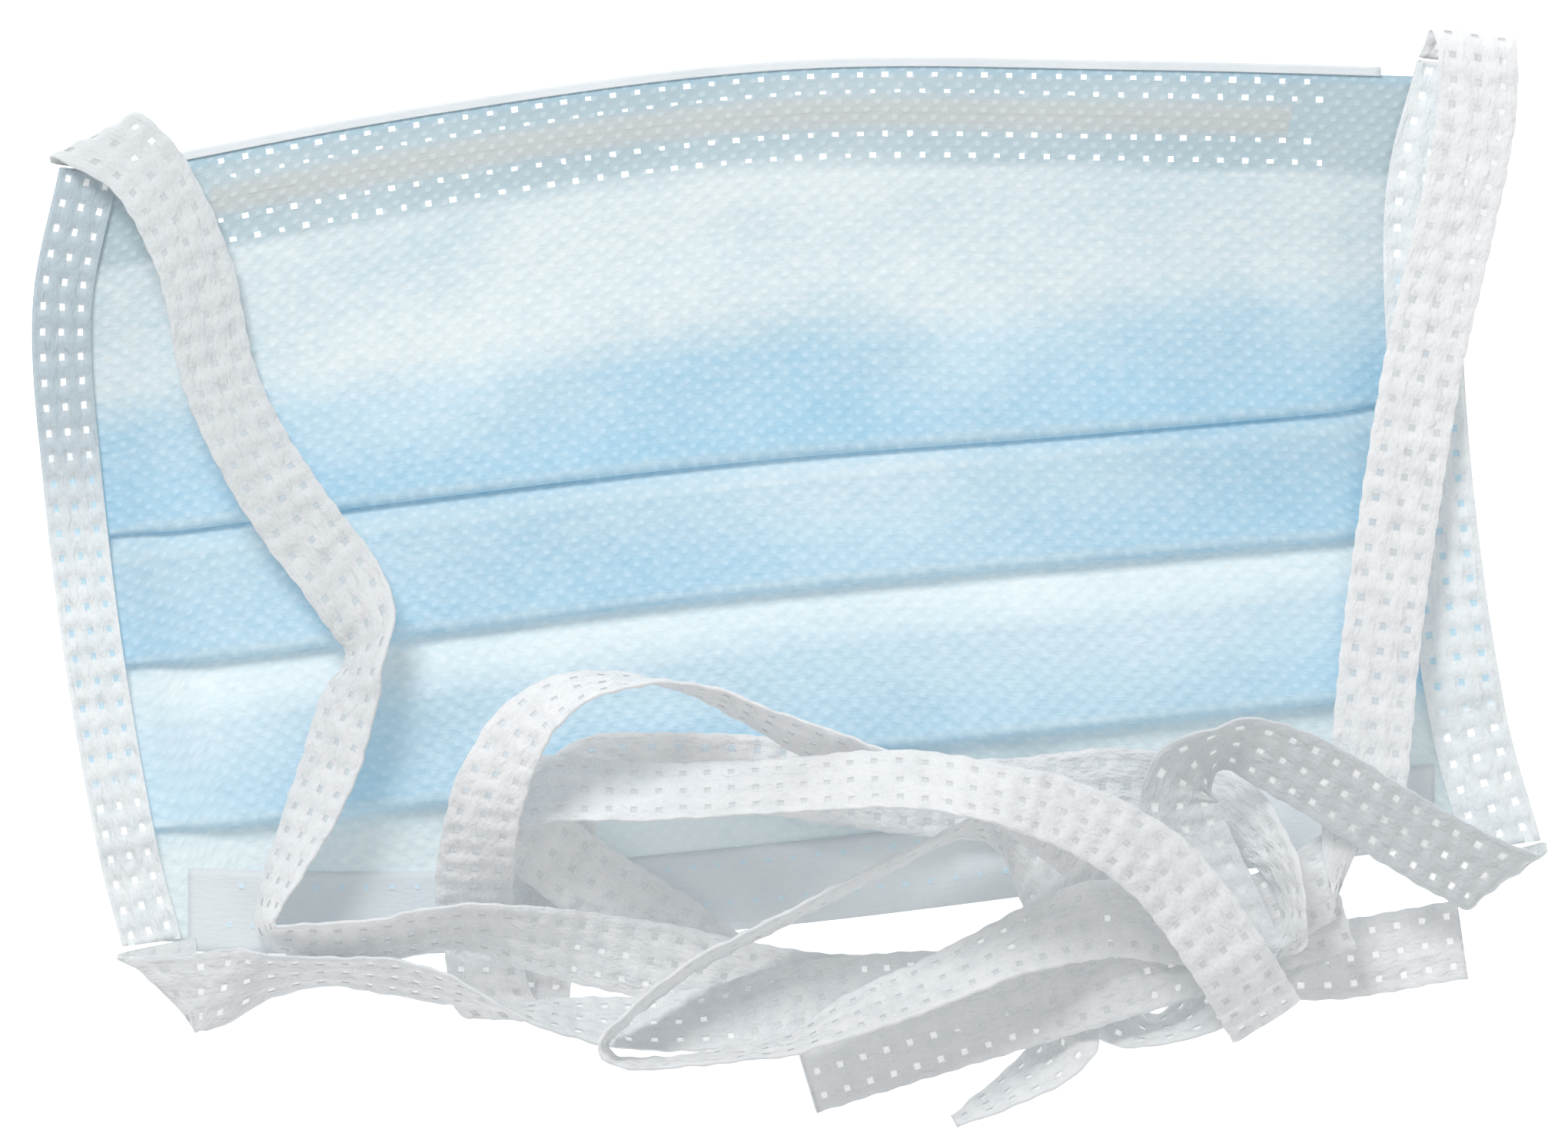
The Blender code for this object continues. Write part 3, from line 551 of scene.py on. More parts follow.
@dataclass(frozen=True)
class LaminateFinish:
    """Blue spunbond over the mask: fibres, a diamond emboss, a deeper blue painted shade and painted glow by
    the pleats, and painted light near the bottom.
    """

    pale: Row = (0.615, 0.680, 0.695)
    # deep: the deeper blue of the random mottle, and the painted shade by the pleats' mouths and under the
    # top hem
    deep: Row = (0.335, 0.495, 0.590)
    casing: Row = (0.350, 0.450, 0.500)
    band: Row = (0.480, 0.495, 0.485)
    # lit: a paler blue, painted light near the bottom of the mask
    lit: Row = (0.715, 0.785, 0.795)
    # through: the colour of the painted glow inside the pleats
    through: Row = (0.25, 0.85, 1.35)
    stitch: Row = (0.42, 0.42, 0.40)
    point: Row = (0.80, 0.88, 0.91)
    emboss_pitch: float = 0.0026

    def make(self) -> bpy.types.Material:
        """Builds the material.

        Returns:
            The finished material.
        """
        kit = Shader("blue_laminate")
        across, along, place = kit.cloth_place()
        turn = 2.0 * math.pi / self.emboss_pitch
        emboss = (across * turn).sine() * (along * turn * 1.25).sine()
        clouds = kit.noise(place, 42.0, 5.0, (0.55, 1.0, 1.0))
        fibres = kit.noise(place, 900.0, 6.0, (0.5, 1.0, 1.0))
        threads = kit.noise(place, 2600.0, 3.0, (0.25, 1.0, 1.0))
        # fold is the painted shade by the pleats' mouths; shade mixes it with the random mottle
        fold = kit.attribute("fold")
        shade = ((clouds - 0.5) * 1.5 + (fibres - 0.5) * 0.9 + fold * 0.62 + 0.20).clamped()
        # Painted light: near the bottom the mask is paler and takes less painted shade
        lower_painted_light = ((along - 0.075) * 24.0).clamped()
        shade = shade * (1.0 - lower_painted_light * 0.35)
        blue = kit.mix(shade, kit.mix(lower_painted_light, self.pale, self.lit), self.deep)
        casing = kit.attribute("casing")
        blue = kit.mix(casing * ((clouds - 0.5) * 0.8 + 0.75), blue, self.casing)
        depth = (along - (WIRE_DEPTH - CLOTH_START)).size()
        within = ((across - MASK_WIDTH / 2 + 0.0015).size() < 0.0715) * casing
        band = ((0.0027 - depth) * 620.0).clamped() * within
        dashes = (depth < 0.00016) * (threads > 0.42) * within
        # Painted shade: a deeper blue strip just under the top hem
        blue = kit.mix(((0.0016 - along) * 1500.0).clamped() * 0.55, blue, self.deep)
        blue = kit.mix(band * 0.72, blue, self.band)
        blue = kit.mix(dashes * 0.35, blue, self.stitch)
        blue = kit.mix((emboss > 0.55) * 0.16, blue, self.point)
        height = emboss * 0.35 + threads * 0.6 + fibres * 0.8
        kit.bump(height, 0.0003, 0.5)
        # Painted glow: the cloth glows a little, bluer inside the pleats, for light through thin cloth
        kit.glow(kit.mix(fold * 0.85, blue, self.through), 0.18)
        return kit.finish(blue, fibres * 0.15 + 0.62, 0.15)


@dataclass(frozen=True)
class LiningFinish:
    """White spunbond: the lining and the hems folded from it."""

    name: str = "white_lining"
    white: Row = (0.86, 0.89, 0.91)
    shaded: Row = (0.74, 0.80, 0.85)

    def make(self) -> bpy.types.Material:
        """Builds the material.

        Returns:
            The finished material.
        """
        kit = Shader(self.name)
        _, _, place = kit.cloth_place()
        clouds = kit.noise(place, 120.0, 4.0)
        threads = kit.noise(place, 2400.0, 4.0, (0.3, 1.0, 1.0))
        colour = kit.mix(((clouds - 0.45) * 1.6 + (threads - 0.5) * 0.5).clamped(), self.white, self.shaded)
        kit.bump(threads + clouds, 0.0002, 0.5)
        # Painted glow, for light through the thin lining
        kit.glow(colour, 0.16)
        return kit.finish(colour, threads * 0.2 + 0.6, 0.2)


@dataclass(frozen=True)
class TapeFinish:
    """Nonwoven tape: pillowed between its rows of square perforations.

    Attributes:
        name: The material's name.
        white: Its colour where it is thick.
        shaded: Its deeper colour, in its random mottle and as painted shade where it is thin.
        tint: Its colour where what lies under it shows, and its painted shade where it is turned from the
            light.
        film: A perforation's colour over the pale table.
        film_over: A perforation's colour over the mask.
        clear: How clear the perforations' film is.
        crisp: How sharp the perforations' edges are.
    """

    name: str
    white: Row
    shaded: Row
    tint: Row
    film: Row
    film_over: Row
    clear: float
    crisp: float = 9000.0

    def make(self) -> bpy.types.Material:
        """Builds the material.

        On the mesh, "tint" is how far what lies under the tape shows and how much painted shade it takes,
        "through" how far the perforations lie over the pale table, and "rim" the painted shade of its thin
        pits and edges.

        Returns:
            The finished material.
        """
        kit = Shader(self.name)
        across, along, place = kit.cloth_place()
        clouds = kit.noise(place, 260.0, 5.0)
        creases = kit.noise(place, 620.0, 3.0, (1.0, 0.6, 1.0))
        threads = kit.noise(place, 2000.0, 5.0, (1.0, 0.35, 1.0))
        colour = kit.mix(((clouds - 0.42) * 2.2 + (threads - 0.5) * 0.7).clamped(), self.white, self.shaded)
        # Painted shade: greyer where the tape is turned from the light, mixed with what lies under showing
        # through
        colour = kit.mix(kit.attribute("tint"), colour, self.tint)
        # Painted shade in the thin pits and along the edges
        colour = kit.mix(kit.attribute("rim") * 0.30, colour, self.shaded)
        ragged = (threads - 0.5) * 0.00022
        away = (across + TAPE_PITCH / 2).repeated(TAPE_PITCH).greater(along.repeated(TAPE_PITCH)) + ragged
        hole = ((HOLE_SIZE / 2 - away) * self.crisp + 0.5).clamped()
        film = kit.mix(kit.attribute("through"), self.film_over, self.film)
        colour = kit.mix(hole, colour, film)
        kit.feed(kit.principled.inputs["Alpha"], 1.0 - hole * self.clear)
        kit.bump(threads * 0.5 + creases * 1.8 + clouds * 0.6, 0.0005, 0.8)
        # Painted glow, for light through the thin tape
        kit.glow(colour, 0.14)
        return kit.finish(colour, threads * 0.2 + 0.55, 0.25)


@dataclass(frozen=True)
class WireFinish:
    """Plain drawn strip, faintly streaked along its length."""

    light: Row = (0.62, 0.64, 0.66)
    dark: Row = (0.48, 0.50, 0.53)

    def make(self) -> bpy.types.Material:
        """Builds the material.

        Returns:
            The finished material.
        """
        kit = Shader("drawn_strip")
        place = kit.node("ShaderNodeTexCoord", {}, {})
        streaks = kit.noise(place.outputs["Object"], 900.0, 3.0, (0.05, 1.0, 1.0))
        kit.bump(streaks, 0.0001, 0.3)
        kit.principled.inputs["Metallic"].default_value = 0.9
        return kit.finish(kit.mix(streaks, self.light, self.dark), streaks * 0.2 + 0.3)


@dataclass(frozen=True)
class TableFinish:
    """The pale plain surface under the mask."""

    white: Row = (0.93, 0.93, 0.935)

    def make(self) -> bpy.types.Material:
        """Builds the material.

        Returns:
            The finished material.
        """
        kit = Shader("pale_table")
        place = kit.node("ShaderNodeTexCoord", {}, {})
        grain = kit.noise(place.outputs["Object"], 60.0, 2.0)
        kit.glow((1.0, 1.0, 1.0), 0.62)
        return kit.finish(self.white, grain * 0.05 + 0.8)


# ---- meshes


def put(name: str, data: bpy.types.ID) -> bpy.types.Object:
    """Sets an object in the scene."""
    made = bpy.data.objects.new(name, data)
    bpy.context.scene.collection.objects.link(made)
    return made


def top_at(tree: BVHTree, x: float, y: float, least: float) -> float:
    """The top of some faces over a place in the mask's own frame, and no less than the least."""
    hit = tree.ray_cast(Vector((x, y, 1.0)) + ON_TABLE, Vector((0.0, 0.0, -1.0)))[0]
    return least if hit is None else max(least, hit.z)


def there_and_back(values: np.ndarray) -> np.ndarray:
    """Values along one face of a section, and back along the other."""
    return np.concatenate((values, values[::-1]))


@dataclass
class Grid:
    """A closed solid made from a grid of sections, each a ring of points.

    Attributes:
        name: The object's name.
        rings: Points, as sections by ring by three.
        places: Cloth coordinates of each point, as sections by ring by two.
        marks: Numbers held at each point, by name, as sections by ring.
    """

    name: str
    rings: np.ndarray
    places: np.ndarray
    marks: dict[str, np.ndarray] = field(default_factory=dict)

    def build(self, materials: Sequence[bpy.types.Material], second: Sequence[int] = ()) -> bpy.types.Object:
        """Makes the object.

        Args:
            materials: Its materials. The second goes on the ring's faces listed in second.
            second: Places round the ring whose faces take the second material.

        Returns:
            The object, at the origin.
        """
        count, around = self.rings.shape[:2]
        index = np.arange(count * around).reshape(count, around)
        ahead = np.roll(index, -1, axis=1)
        quads = np.stack((index[:-1], ahead[:-1], ahead[1:], index[1:]), axis=-1).reshape(-1, 4)
        faces = [tuple(int(i) for i in quad) for quad in quads]
        half = around // 2
        last = (count - 1) * around
        for i in range(half - 1):
            j = around - 1 - i
            faces.append((j, j - 1, i + 1, i))
            faces.append((last + i, last + i + 1, last + j - 1, last + j))
        mesh = bpy.data.meshes.new(self.name)
        mesh.from_pydata(self.rings.reshape(-1, 3).tolist(), [], faces)
        chosen = set(second)
        for number, polygon in enumerate(mesh.polygons):
            polygon.use_smooth = True
            if number < len(quads) and number % around in chosen:
                polygon.material_index = 1
        layer = mesh.uv_layers.new(name="cloth")
        corners = np.empty(len(mesh.loops), dtype=np.int32)
        mesh.loops.foreach_get("vertex_index", corners)
        layer.data.foreach_set("uv", self.places.reshape(-1, 2)[corners].astype(np.float32).ravel())
        for name, values in self.marks.items():
            held = mesh.attributes.new(name, "FLOAT", "POINT")
            held.data.foreach_set("value", values.astype(np.float32).ravel())
        for material in materials:
            mesh.materials.append(material)
        return put(self.name, mesh)


@dataclass
class MaskForm:
    """Where the mask's lines, bulge and layers are, in its own frame.

    Attributes:
        ripple: How far the cloth's small unevenness rises.
    """

    ripple: float = 0.00022

    def line_y(self, line: Row, x: float) -> float:
        """Where a line across the mask is at x."""
        return MASK_HEIGHT * curve_at(LINE_STATIONS, line, x / MASK_WIDTH)

    def side_x(self, side: Rows, y: float) -> float:
        """Where a side of the mask is at y."""
        rows = side[::-1]
        knots = [row[0] for row in rows]
        values = [row[1] for row in rows]
        share = min(knots[-1], max(knots[0], y / MASK_HEIGHT))
        return MASK_WIDTH * curve_at(knots, values, share)

    def station_x(self, u: float, y: float) -> float:
        """The place that is the share u of the way from the left side to the right."""
        left = self.side_x(LEFT_SIDE, y)
        return left + (self.side_x(RIGHT_SIDE, y) - left) * u

    def shares_at(self, x: float, y: float) -> tuple[float, float]:
        """How far a place is from the left side and from the top edge, as shares."""
        left = self.side_x(LEFT_SIDE, y)
        u = (x - left) / (self.side_x(RIGHT_SIDE, y) - left)
        top = self.line_y(TOP_EDGE, x)
        v = (top - y) / (top - self.line_y(BOTTOM_EDGE, x))
        return min(1.0, max(0.0, u)), min(1.0, max(0.0, v))

    def dents(self, x: float, y: float) -> float:
        """The shallow ridges and dents of the cloth, as a share of the bulge."""
        total = 0.0
        for across, up, turn, length, breadth, rise in DENTS:
            dx, dy = x - across * MASK_WIDTH, y - up * MASK_WIDTH
            c, s = math.cos(math.radians(turn)), math.sin(math.radians(turn))
            a = (dx * c + dy * s) / (length * MASK_WIDTH)
            b = (dy * c - dx * s) / (breadth * MASK_WIDTH)
            total += rise * math.exp(-a * a - b * b)
        return total

    def dome(self, x: float, y: float) -> float:
        """How far the mask bulges at a place."""
        u, v = self.shares_at(x, y)
        held = TIE_WIDTH / 2 / MASK_WIDTH + DOME_MARGIN
        u = min(1.0, max(0.0, (u - held) / (1.0 - 2.0 * held)))
        across = 1.0 - abs(2.0 * u - 1.0) ** DOME_FLATNESS
        bulge = across * math.sin(math.pi * v) ** DOME_ROUNDNESS
        return DOME_RISE * bulge * (1.0 + self.dents(x, y))

    def rest_level(self, x: float, y: float) -> float:
        """The underside of the cloth's lowest layer."""
        v = self.shares_at(x, y)[1]
        lift = CASING_ROOM * (1.0 - smooth((v - 0.14) / 0.12))
        return HEM_WALL + NEIGHBOUR_GAP + lift + self.dome(x, y)

    def cloth_share(self, u: float) -> float:
        """The cloth's wall beside the open one: it is pressed thin inside the bindings."""
        inside = min(u, 1.0 - u) * MASK_WIDTH - TIE_WIDTH / 2
        return PRESSED + (1.0 - PRESSED) * smooth(inside / PRESSED_REACH)

    def cloth_top(self, x: float, y: float) -> float:
        """The cloth's upper face where it lies in a single low layer."""
        return self.rest_level(x, y) + CLOTH_WALL * self.cloth_share(self.shares_at(x, y)[0])

    def uneven(self, x: float, y: float) -> float:
        """The small unevenness of cloth that has been handled."""
        a = math.sin(x * 310.0 + 2.1 * math.sin(y * 140.0))
        b = math.sin(y * 410.0 + 1.7 * math.sin(x * 120.0 + 1.0))
        c = math.sin((x + y) * 690.0 + a)
        away = abs(self.line_y(TOP_EDGE, x) - y - WIRE_DEPTH)
        ridge = 0.00035 * smooth((0.0028 - away) / 0.0014) * smooth((0.074 - abs(x + 0.0015)) / 0.004)
        return self.ripple * (a * 0.5 + b * 0.4 + c * 0.25) + ridge


@dataclass
class Cloth:
    """The pleated laminate, blue outside and white inside.

    Attributes:
        form: The mask's form.
        stations: Sections from side to side.
        panel_points: Points down each panel.
        lap_points: Points down the lap over each fold's mouth.
        fold_points: Points round each fold.
        last_points: Points down the last panel.
        first_run: How far the first panel lies flat below the top edge.
        shaded: How far below a mouth the cloth is in its shade.
        lead: How far over a mouth the cloth takes a deeper blue painted shade.
    """

    form: MaskForm
    stations: int = 181
    panel_points: int = 26
    lap_points: int = 8
    fold_points: int = 9
    last_points: int = 24
    first_run: float = 0.014
    shaded: float = 0.0040
    lead: float = 0.006

    def path(self, x_at: float, pitch: float) -> list[tuple[float, float, float]]:
        """The cloth's middle line down the mask at one station.

        Args:
            x_at: The station.
            pitch: The height of one layer.

        Returns:
            Rows of y, height above the lowest layer, and how much painted shade the place takes by a fold's
            mouth.
        """
        form = self.form
        top = form.line_y(TOP_EDGE, x_at) - CLOTH_START
        bottom = form.line_y(BOTTOM_EDGE, x_at) + CLOTH_START
        rows = [(top, 0.0, 0.0)]
        start, low_until = top, top - self.first_run
        for line in PLEATS:
            fold = form.line_y(line, x_at)
            inner = fold + PLEAT_DEPTH
            for i in range(1, self.panel_points):
                y = start + (inner - start) * i / self.panel_points
                # Painted shade: darker just below the mouth above, and deeper blue nearing the next mouth
                under = 0.30 * (1.0 - smooth((start - y) / self.shaded)) if start != top else 0.0
                under += 0.50 * smooth((inner + self.lead - y) / self.lead)
                span = max(1e-6, low_until - inner)
                rows.append((y, 2.0 * pitch * smooth((low_until - y) / span), under))
            # Painted shade: deepest over the lap, round the fold and inside it
            for i in range(self.lap_points):
                y = inner + (fold - inner) * i / (self.lap_points - 0.5)
                rows.append((y, 2.0 * pitch, 0.65 + 0.35 * smooth(i / (self.lap_points - 1))))
            for i in range(self.fold_points):
                turn = math.pi * (0.5 - i / (self.fold_points - 1))
                y = fold - pitch / 2 * math.cos(turn)
                rows.append((y, pitch * (1.5 + 0.5 * math.sin(turn)), 0.7 + 0.3 * i / self.fold_points))
            rows.append((fold + PLEAT_DEPTH / 2, pitch, 1.0))
            for i in range(self.fold_points):
                turn = math.pi * (0.5 - i / (self.fold_points - 1))
                y = inner + pitch / 2 * math.cos(turn)
                rows.append((y, pitch * (0.5 + 0.5 * math.sin(turn)), 1.0))
            rows.append((fold + PLEAT_DEPTH / 2, 0.0, 1.0))
            rows.append((fold, 0.0, 1.0))
            start, low_until = fold, fold
        for i in range(1, self.last_points + 1):
            y = start + (bottom - start) * i / self.last_points
            rows.append((y, 0.0, 0.30 * (1.0 - smooth((start - y) / self.shaded))))
        return rows

    def build(self, outside: bpy.types.Material, inside: bpy.types.Material) -> bpy.types.Object:
        """Makes the cloth.

        Args:
            outside: The finish of the blue side.
            inside: The finish of the white side.

        Returns:
            The piece.
        """
        form = self.form
        rings, places, fold_shades, casings = [], [], [], []
        for k in range(self.stations):
            u = k / (self.stations - 1)
            share = form.cloth_share(u)
            wall = CLOTH_WALL * share
            x_at = (u - 0.5) * MASK_WIDTH
            rows = self.path(x_at, wall + LAYER_GAP * share)
            line = np.array([row[:2] for row in rows])
            ahead = np.vstack((line[1:], line[-1:])) - np.vstack((line[:1], line[:-1]))
            ahead /= np.linalg.norm(ahead, axis=1)[:, None]
            normal = np.stack((-ahead[:, 1], ahead[:, 0]), axis=1) * (-wall / 2)
            run = np.concatenate(([0.0], np.cumsum(np.linalg.norm(np.diff(line, axis=0), axis=1))))
            points = []
            for y, z in np.vstack((line + normal, (line - normal)[::-1])):
                x = form.station_x(u, y)
                settle = form.uneven(x, y) * share
                points.append((x, y, z + wall / 2 + form.rest_level(x, y) + settle))
            rings.append(points)
            places.append(there_and_back(np.stack((np.full(len(run), u * MASK_WIDTH), run), axis=1)))
            fold_shades.append(there_and_back(np.array([row[2] for row in rows])))
            casings.append(there_and_back(1.0 - np.clip((run - CASING_END) / 0.0009, 0.0, 1.0)))
        rings = np.array(rings) + np.array(ON_TABLE)
        half = rings.shape[1] // 2
        # fold: the painted shade by the pleats' mouths, read by the laminate's finish
        marks = {"fold": np.array(fold_shades), "casing": np.array(casings)}
        grid = Grid("pleated_cloth", rings, np.array(places), marks)
        return grid.build((outside, inside), range(half - 1, rings.shape[1]))


@dataclass
class Hem:
    """The white lining folded round an edge of the mask.

    Attributes:
        name: The piece's name.
        form: The mask's form.
        edge: The edge's line.
        inward: 1 where the mask's middle lies up the mask from it, -1 where it lies down.
        front: How far it reaches over the outer side.
        back: How far it reaches over the face side.
        casing: What it holds between itself and the cloth.
        wall: Its thickness.
        gap: The room between it and the cloth.
        steps: Sections along the edge.
        parts: Points along each face of a section.
    """

    name: str
    form: MaskForm
    edge: Row
    inward: int
    front: float
    back: float
    casing: float
    wall: float = 0.00028
    gap: float = 0.00006
    steps: int = 150
    parts: int = 10

    def span(self) -> tuple[float, float]:
        """The two x between which the hem lies clear of both side bindings."""
        form = self.form
        low, high = [], []
        for reach in (-0.02 * MASK_HEIGHT, self.inward * max(self.front, self.back)):
            y = form.line_y(self.edge, -0.46 * MASK_WIDTH) + reach
            low.append(form.side_x(LEFT_SIDE, y) + TIE_WIDTH * 0.75 / 2)
            y = form.line_y(self.edge, 0.46 * MASK_WIDTH) + reach
            high.append(form.side_x(RIGHT_SIDE, y) - TIE_WIDTH * 0.97 / 2)
        return max(low) + HEM_END_ROOM, min(high) - HEM_END_ROOM

    def level(self, x: float, y: float, side: int) -> float:
        """The inner face, over the cloth on side 1 and under what the hem holds on side -1."""
        if side > 0:
            return self.form.cloth_top(x, y) + self.gap + self.form.uneven(x, y)
        return self.form.rest_level(x, y) - NEIGHBOUR_GAP - self.casing

    def build(self, material: bpy.types.Material) -> bpy.types.Object:
        """Makes the hem.

        Args:
            material: Its finish.

        Returns:
            The piece.
        """
        wall = self.wall
        low, high = self.span()
        runs = (
            (self.front, 0.0, 1, wall),
            (0.0, self.back, -1, -wall),
            (self.back, wall, -1, 0.0),
            (wall, self.front, 1, 0.0),
        )
        rings = []
        for k in range(self.steps + 1):
            x = low + (high - low) * k / self.steps
            y_edge = self.form.line_y(self.edge, x)
            ring = []
            for start, end, side, extra in runs:
                for i in range(self.parts + 1):
                    s = start + (end - start) * i / self.parts
                    y = y_edge + self.inward * s
                    tuck = wall * 0.6 * (1.0 - min(1.0, s / wall)) if extra else 0.0
                    z = self.level(x, y, side) + extra - math.copysign(tuck, extra or 1.0)
                    ring.append((x, y, max(0.0001, z), x, s + (0.1 if side > 0 else 0.0)))
            rings.append(ring[:: self.inward])
        rings = np.array(rings)
        return Grid(self.name, rings[..., :3] + np.array(ON_TABLE), rings[..., 3:]).build((material,))


def pitches(length: float) -> int:
    """How many perforations fit a length of tape."""
    return max(1, round(length / TAPE_PITCH))


def lattice(length: float) -> tuple[np.ndarray, np.ndarray, np.ndarray]:
    """Places along a tape so that cells lie in each perforation.

    Args:
        length: The tape's length.

    Returns:
        The places, how far each is from the nearest perforation's middle, and the places again as
        they would be at the exact pitch.
    """
    count = pitches(length)
    pitch = length / count
    hole = HOLE_SIZE / 2 / pitch
    steps = (0.0, 0.23, 0.5 - hole, 0.5, 0.5 + hole, 0.77)
    places = np.array([(k + step) * pitch for k in range(count) for step in steps] + [length])
    near = np.abs((places / pitch) % 1.0 - 0.5) * pitch
    return places, near, places * (TAPE_PITCH / pitch)


def columns() -> np.ndarray:
    """Places across a tape, from -1 to 1, so that cells lie in its three rows of perforations."""
    half = HOLE_SIZE / 2
    inner = [(row + side) / (TIE_WIDTH / 2) for row in HOLE_ROWS for side in (-half, 0.0, half)]
    ease = [side * place for place in (0.20, 0.32, 0.44, 0.86, 0.93, 0.99, 1.0) for side in (-1, 1)]
    return np.array(sorted(inner + ease))


def beside_rows(across: np.ndarray) -> np.ndarray:
    """How far places across a tape are from the nearest row of perforations."""
    offset = across * TIE_WIDTH / 2
    return np.min(np.abs(offset[:, None] - np.array(HOLE_ROWS)), axis=1)


@dataclass
class Tape:
    """A perforated tape swept through sections, pillowed between its perforations.

    Attributes:
        name: The piece's name.
        centre: The middle line, as sections by three.
        arm: Half the breadth at each section, as a vector.
        normal: The unit normal at each section.
        run: How far along the tape each section is.
        near: How far each section is from the nearest perforation's middle.
        even: How far along each section is at the exact pitch.
        tint: How far what lies under shows and how much painted shade it takes, at each section.
        through: How light the perforations are, at each section.
        thin: Half the thickness at the perforations.
        thick: Half the thickness between them.
        pucker: How far the tape puckers.
    """

    name: str
    centre: np.ndarray
    arm: np.ndarray
    normal: np.ndarray
    run: np.ndarray
    near: np.ndarray
    even: np.ndarray
    tint: np.ndarray
    through: np.ndarray
    thin: float = 0.00010
    thick: float = 0.00046
    pucker: float = 0.00009

    def pillow(self, across: np.ndarray) -> np.ndarray:
        """Half the thickness at each section and place across."""
        distance = (self.near[:, None] ** 4 + beside_rows(across)[None, :] ** 4) ** 0.25
        swell = np.clip((distance - 0.00047) / 0.0011, 0.0, 1.0)
        swell = swell * swell * (3.0 - 2.0 * swell)
        edge = np.clip((1.0 - np.abs(across)) / 0.14, 0.0, 1.0)[None, :]
        between = np.clip(self.near[:, None] / 0.0012, 0.0, 1.0) * 0.25 + 0.75
        return self.thin + (self.thick - self.thin) * swell * between * (0.25 + 0.75 * edge)

    def middle(self, across: np.ndarray) -> np.ndarray:
        """The tape's middle face, scalloped at its edges and puckered.

        Args:
            across: Places across, from -1 to 1.

        Returns:
            Points, as sections by places by three.
        """
        run, wide = self.run[:, None], across[None, :]
        scallop = 1.0 - 0.014 * np.cos(self.near * 2.0 * math.pi / TAPE_PITCH)
        scallop = scallop + 0.007 * np.sin(self.run * 910.0)
        rise = np.sin(run * 730.0 + wide * 2.1) * np.cos(wide * 3.3 + 0.6)
        rise = rise + 0.6 * np.sin(run * 1490.0 - wide * 3.9)
        rise = rise * self.pucker * np.clip(run / 0.004, 0.0, 1.0)
        arm = self.arm * scallop[:, None]
        face = self.centre[:, None, :] + arm[:, None, :] * wide[:, :, None]
        return face + rise[:, :, None] * self.normal[:, None, :]

    def build(self, material: bpy.types.Material) -> bpy.types.Object:
        """Makes the tape.

        Args:
            material: Its finish.

        Returns:
            The piece.
        """
        across = columns()
        swell = self.pillow(across)
        half, middle = swell[:, :, None] * self.normal[:, None, :], self.middle(across)
        shape = swell.shape
        place = np.stack(np.broadcast_arrays(across * TIE_WIDTH / 2, self.even[:, None]), axis=-1)
        marks = {
            "tint": np.broadcast_to(self.tint[:, None], shape),
            "through": np.broadcast_to(self.through[:, None], shape),
            "rim": np.clip(1.0 - swell / self.thick * 1.3, 0.0, 1.0),
        }

        def around(top: np.ndarray, bottom: np.ndarray) -> np.ndarray:
            """Rings from values over and under."""
            return np.concatenate((top[:, ::-1], bottom), axis=1)

        rings = around(middle + half, middle - half)
        marks = {name: around(values, values) for name, values in marks.items()}
        return Grid(self.name, rings, around(place, place), marks).build((material,))


def slopes_of(rows: np.ndarray, spans: np.ndarray) -> np.ndarray:
    """The slope of a smooth curve at each of its knots.

    Args:
        rows: The knots.
        spans: The step of the curve's own measure from each knot to the next.

    Returns:
        One slope a knot.
    """
    steps = np.diff(rows, axis=0) / spans[:, None]
    before, after = spans[:-1, None], spans[1:, None]
    middle = (steps[:-1] * after + steps[1:] * before) / (before + after)
    return np.vstack((steps[:1], middle, steps[-1:]))


def cubic(rows: np.ndarray, slopes: np.ndarray, spans: np.ndarray, k: Any, t: Any) -> np.ndarray:
    """The smooth curve through knots, at shares t on from knots k."""
    t = np.asarray(t)[..., None]
    share = t * t * (3.0 - 2.0 * t)
    bend = t * (1.0 - t) ** 2 * slopes[k] - t * t * (1.0 - t) * slopes[k + 1]
    return rows[k] * (1.0 - share) + rows[k + 1] * share + bend * spans[k][..., None]


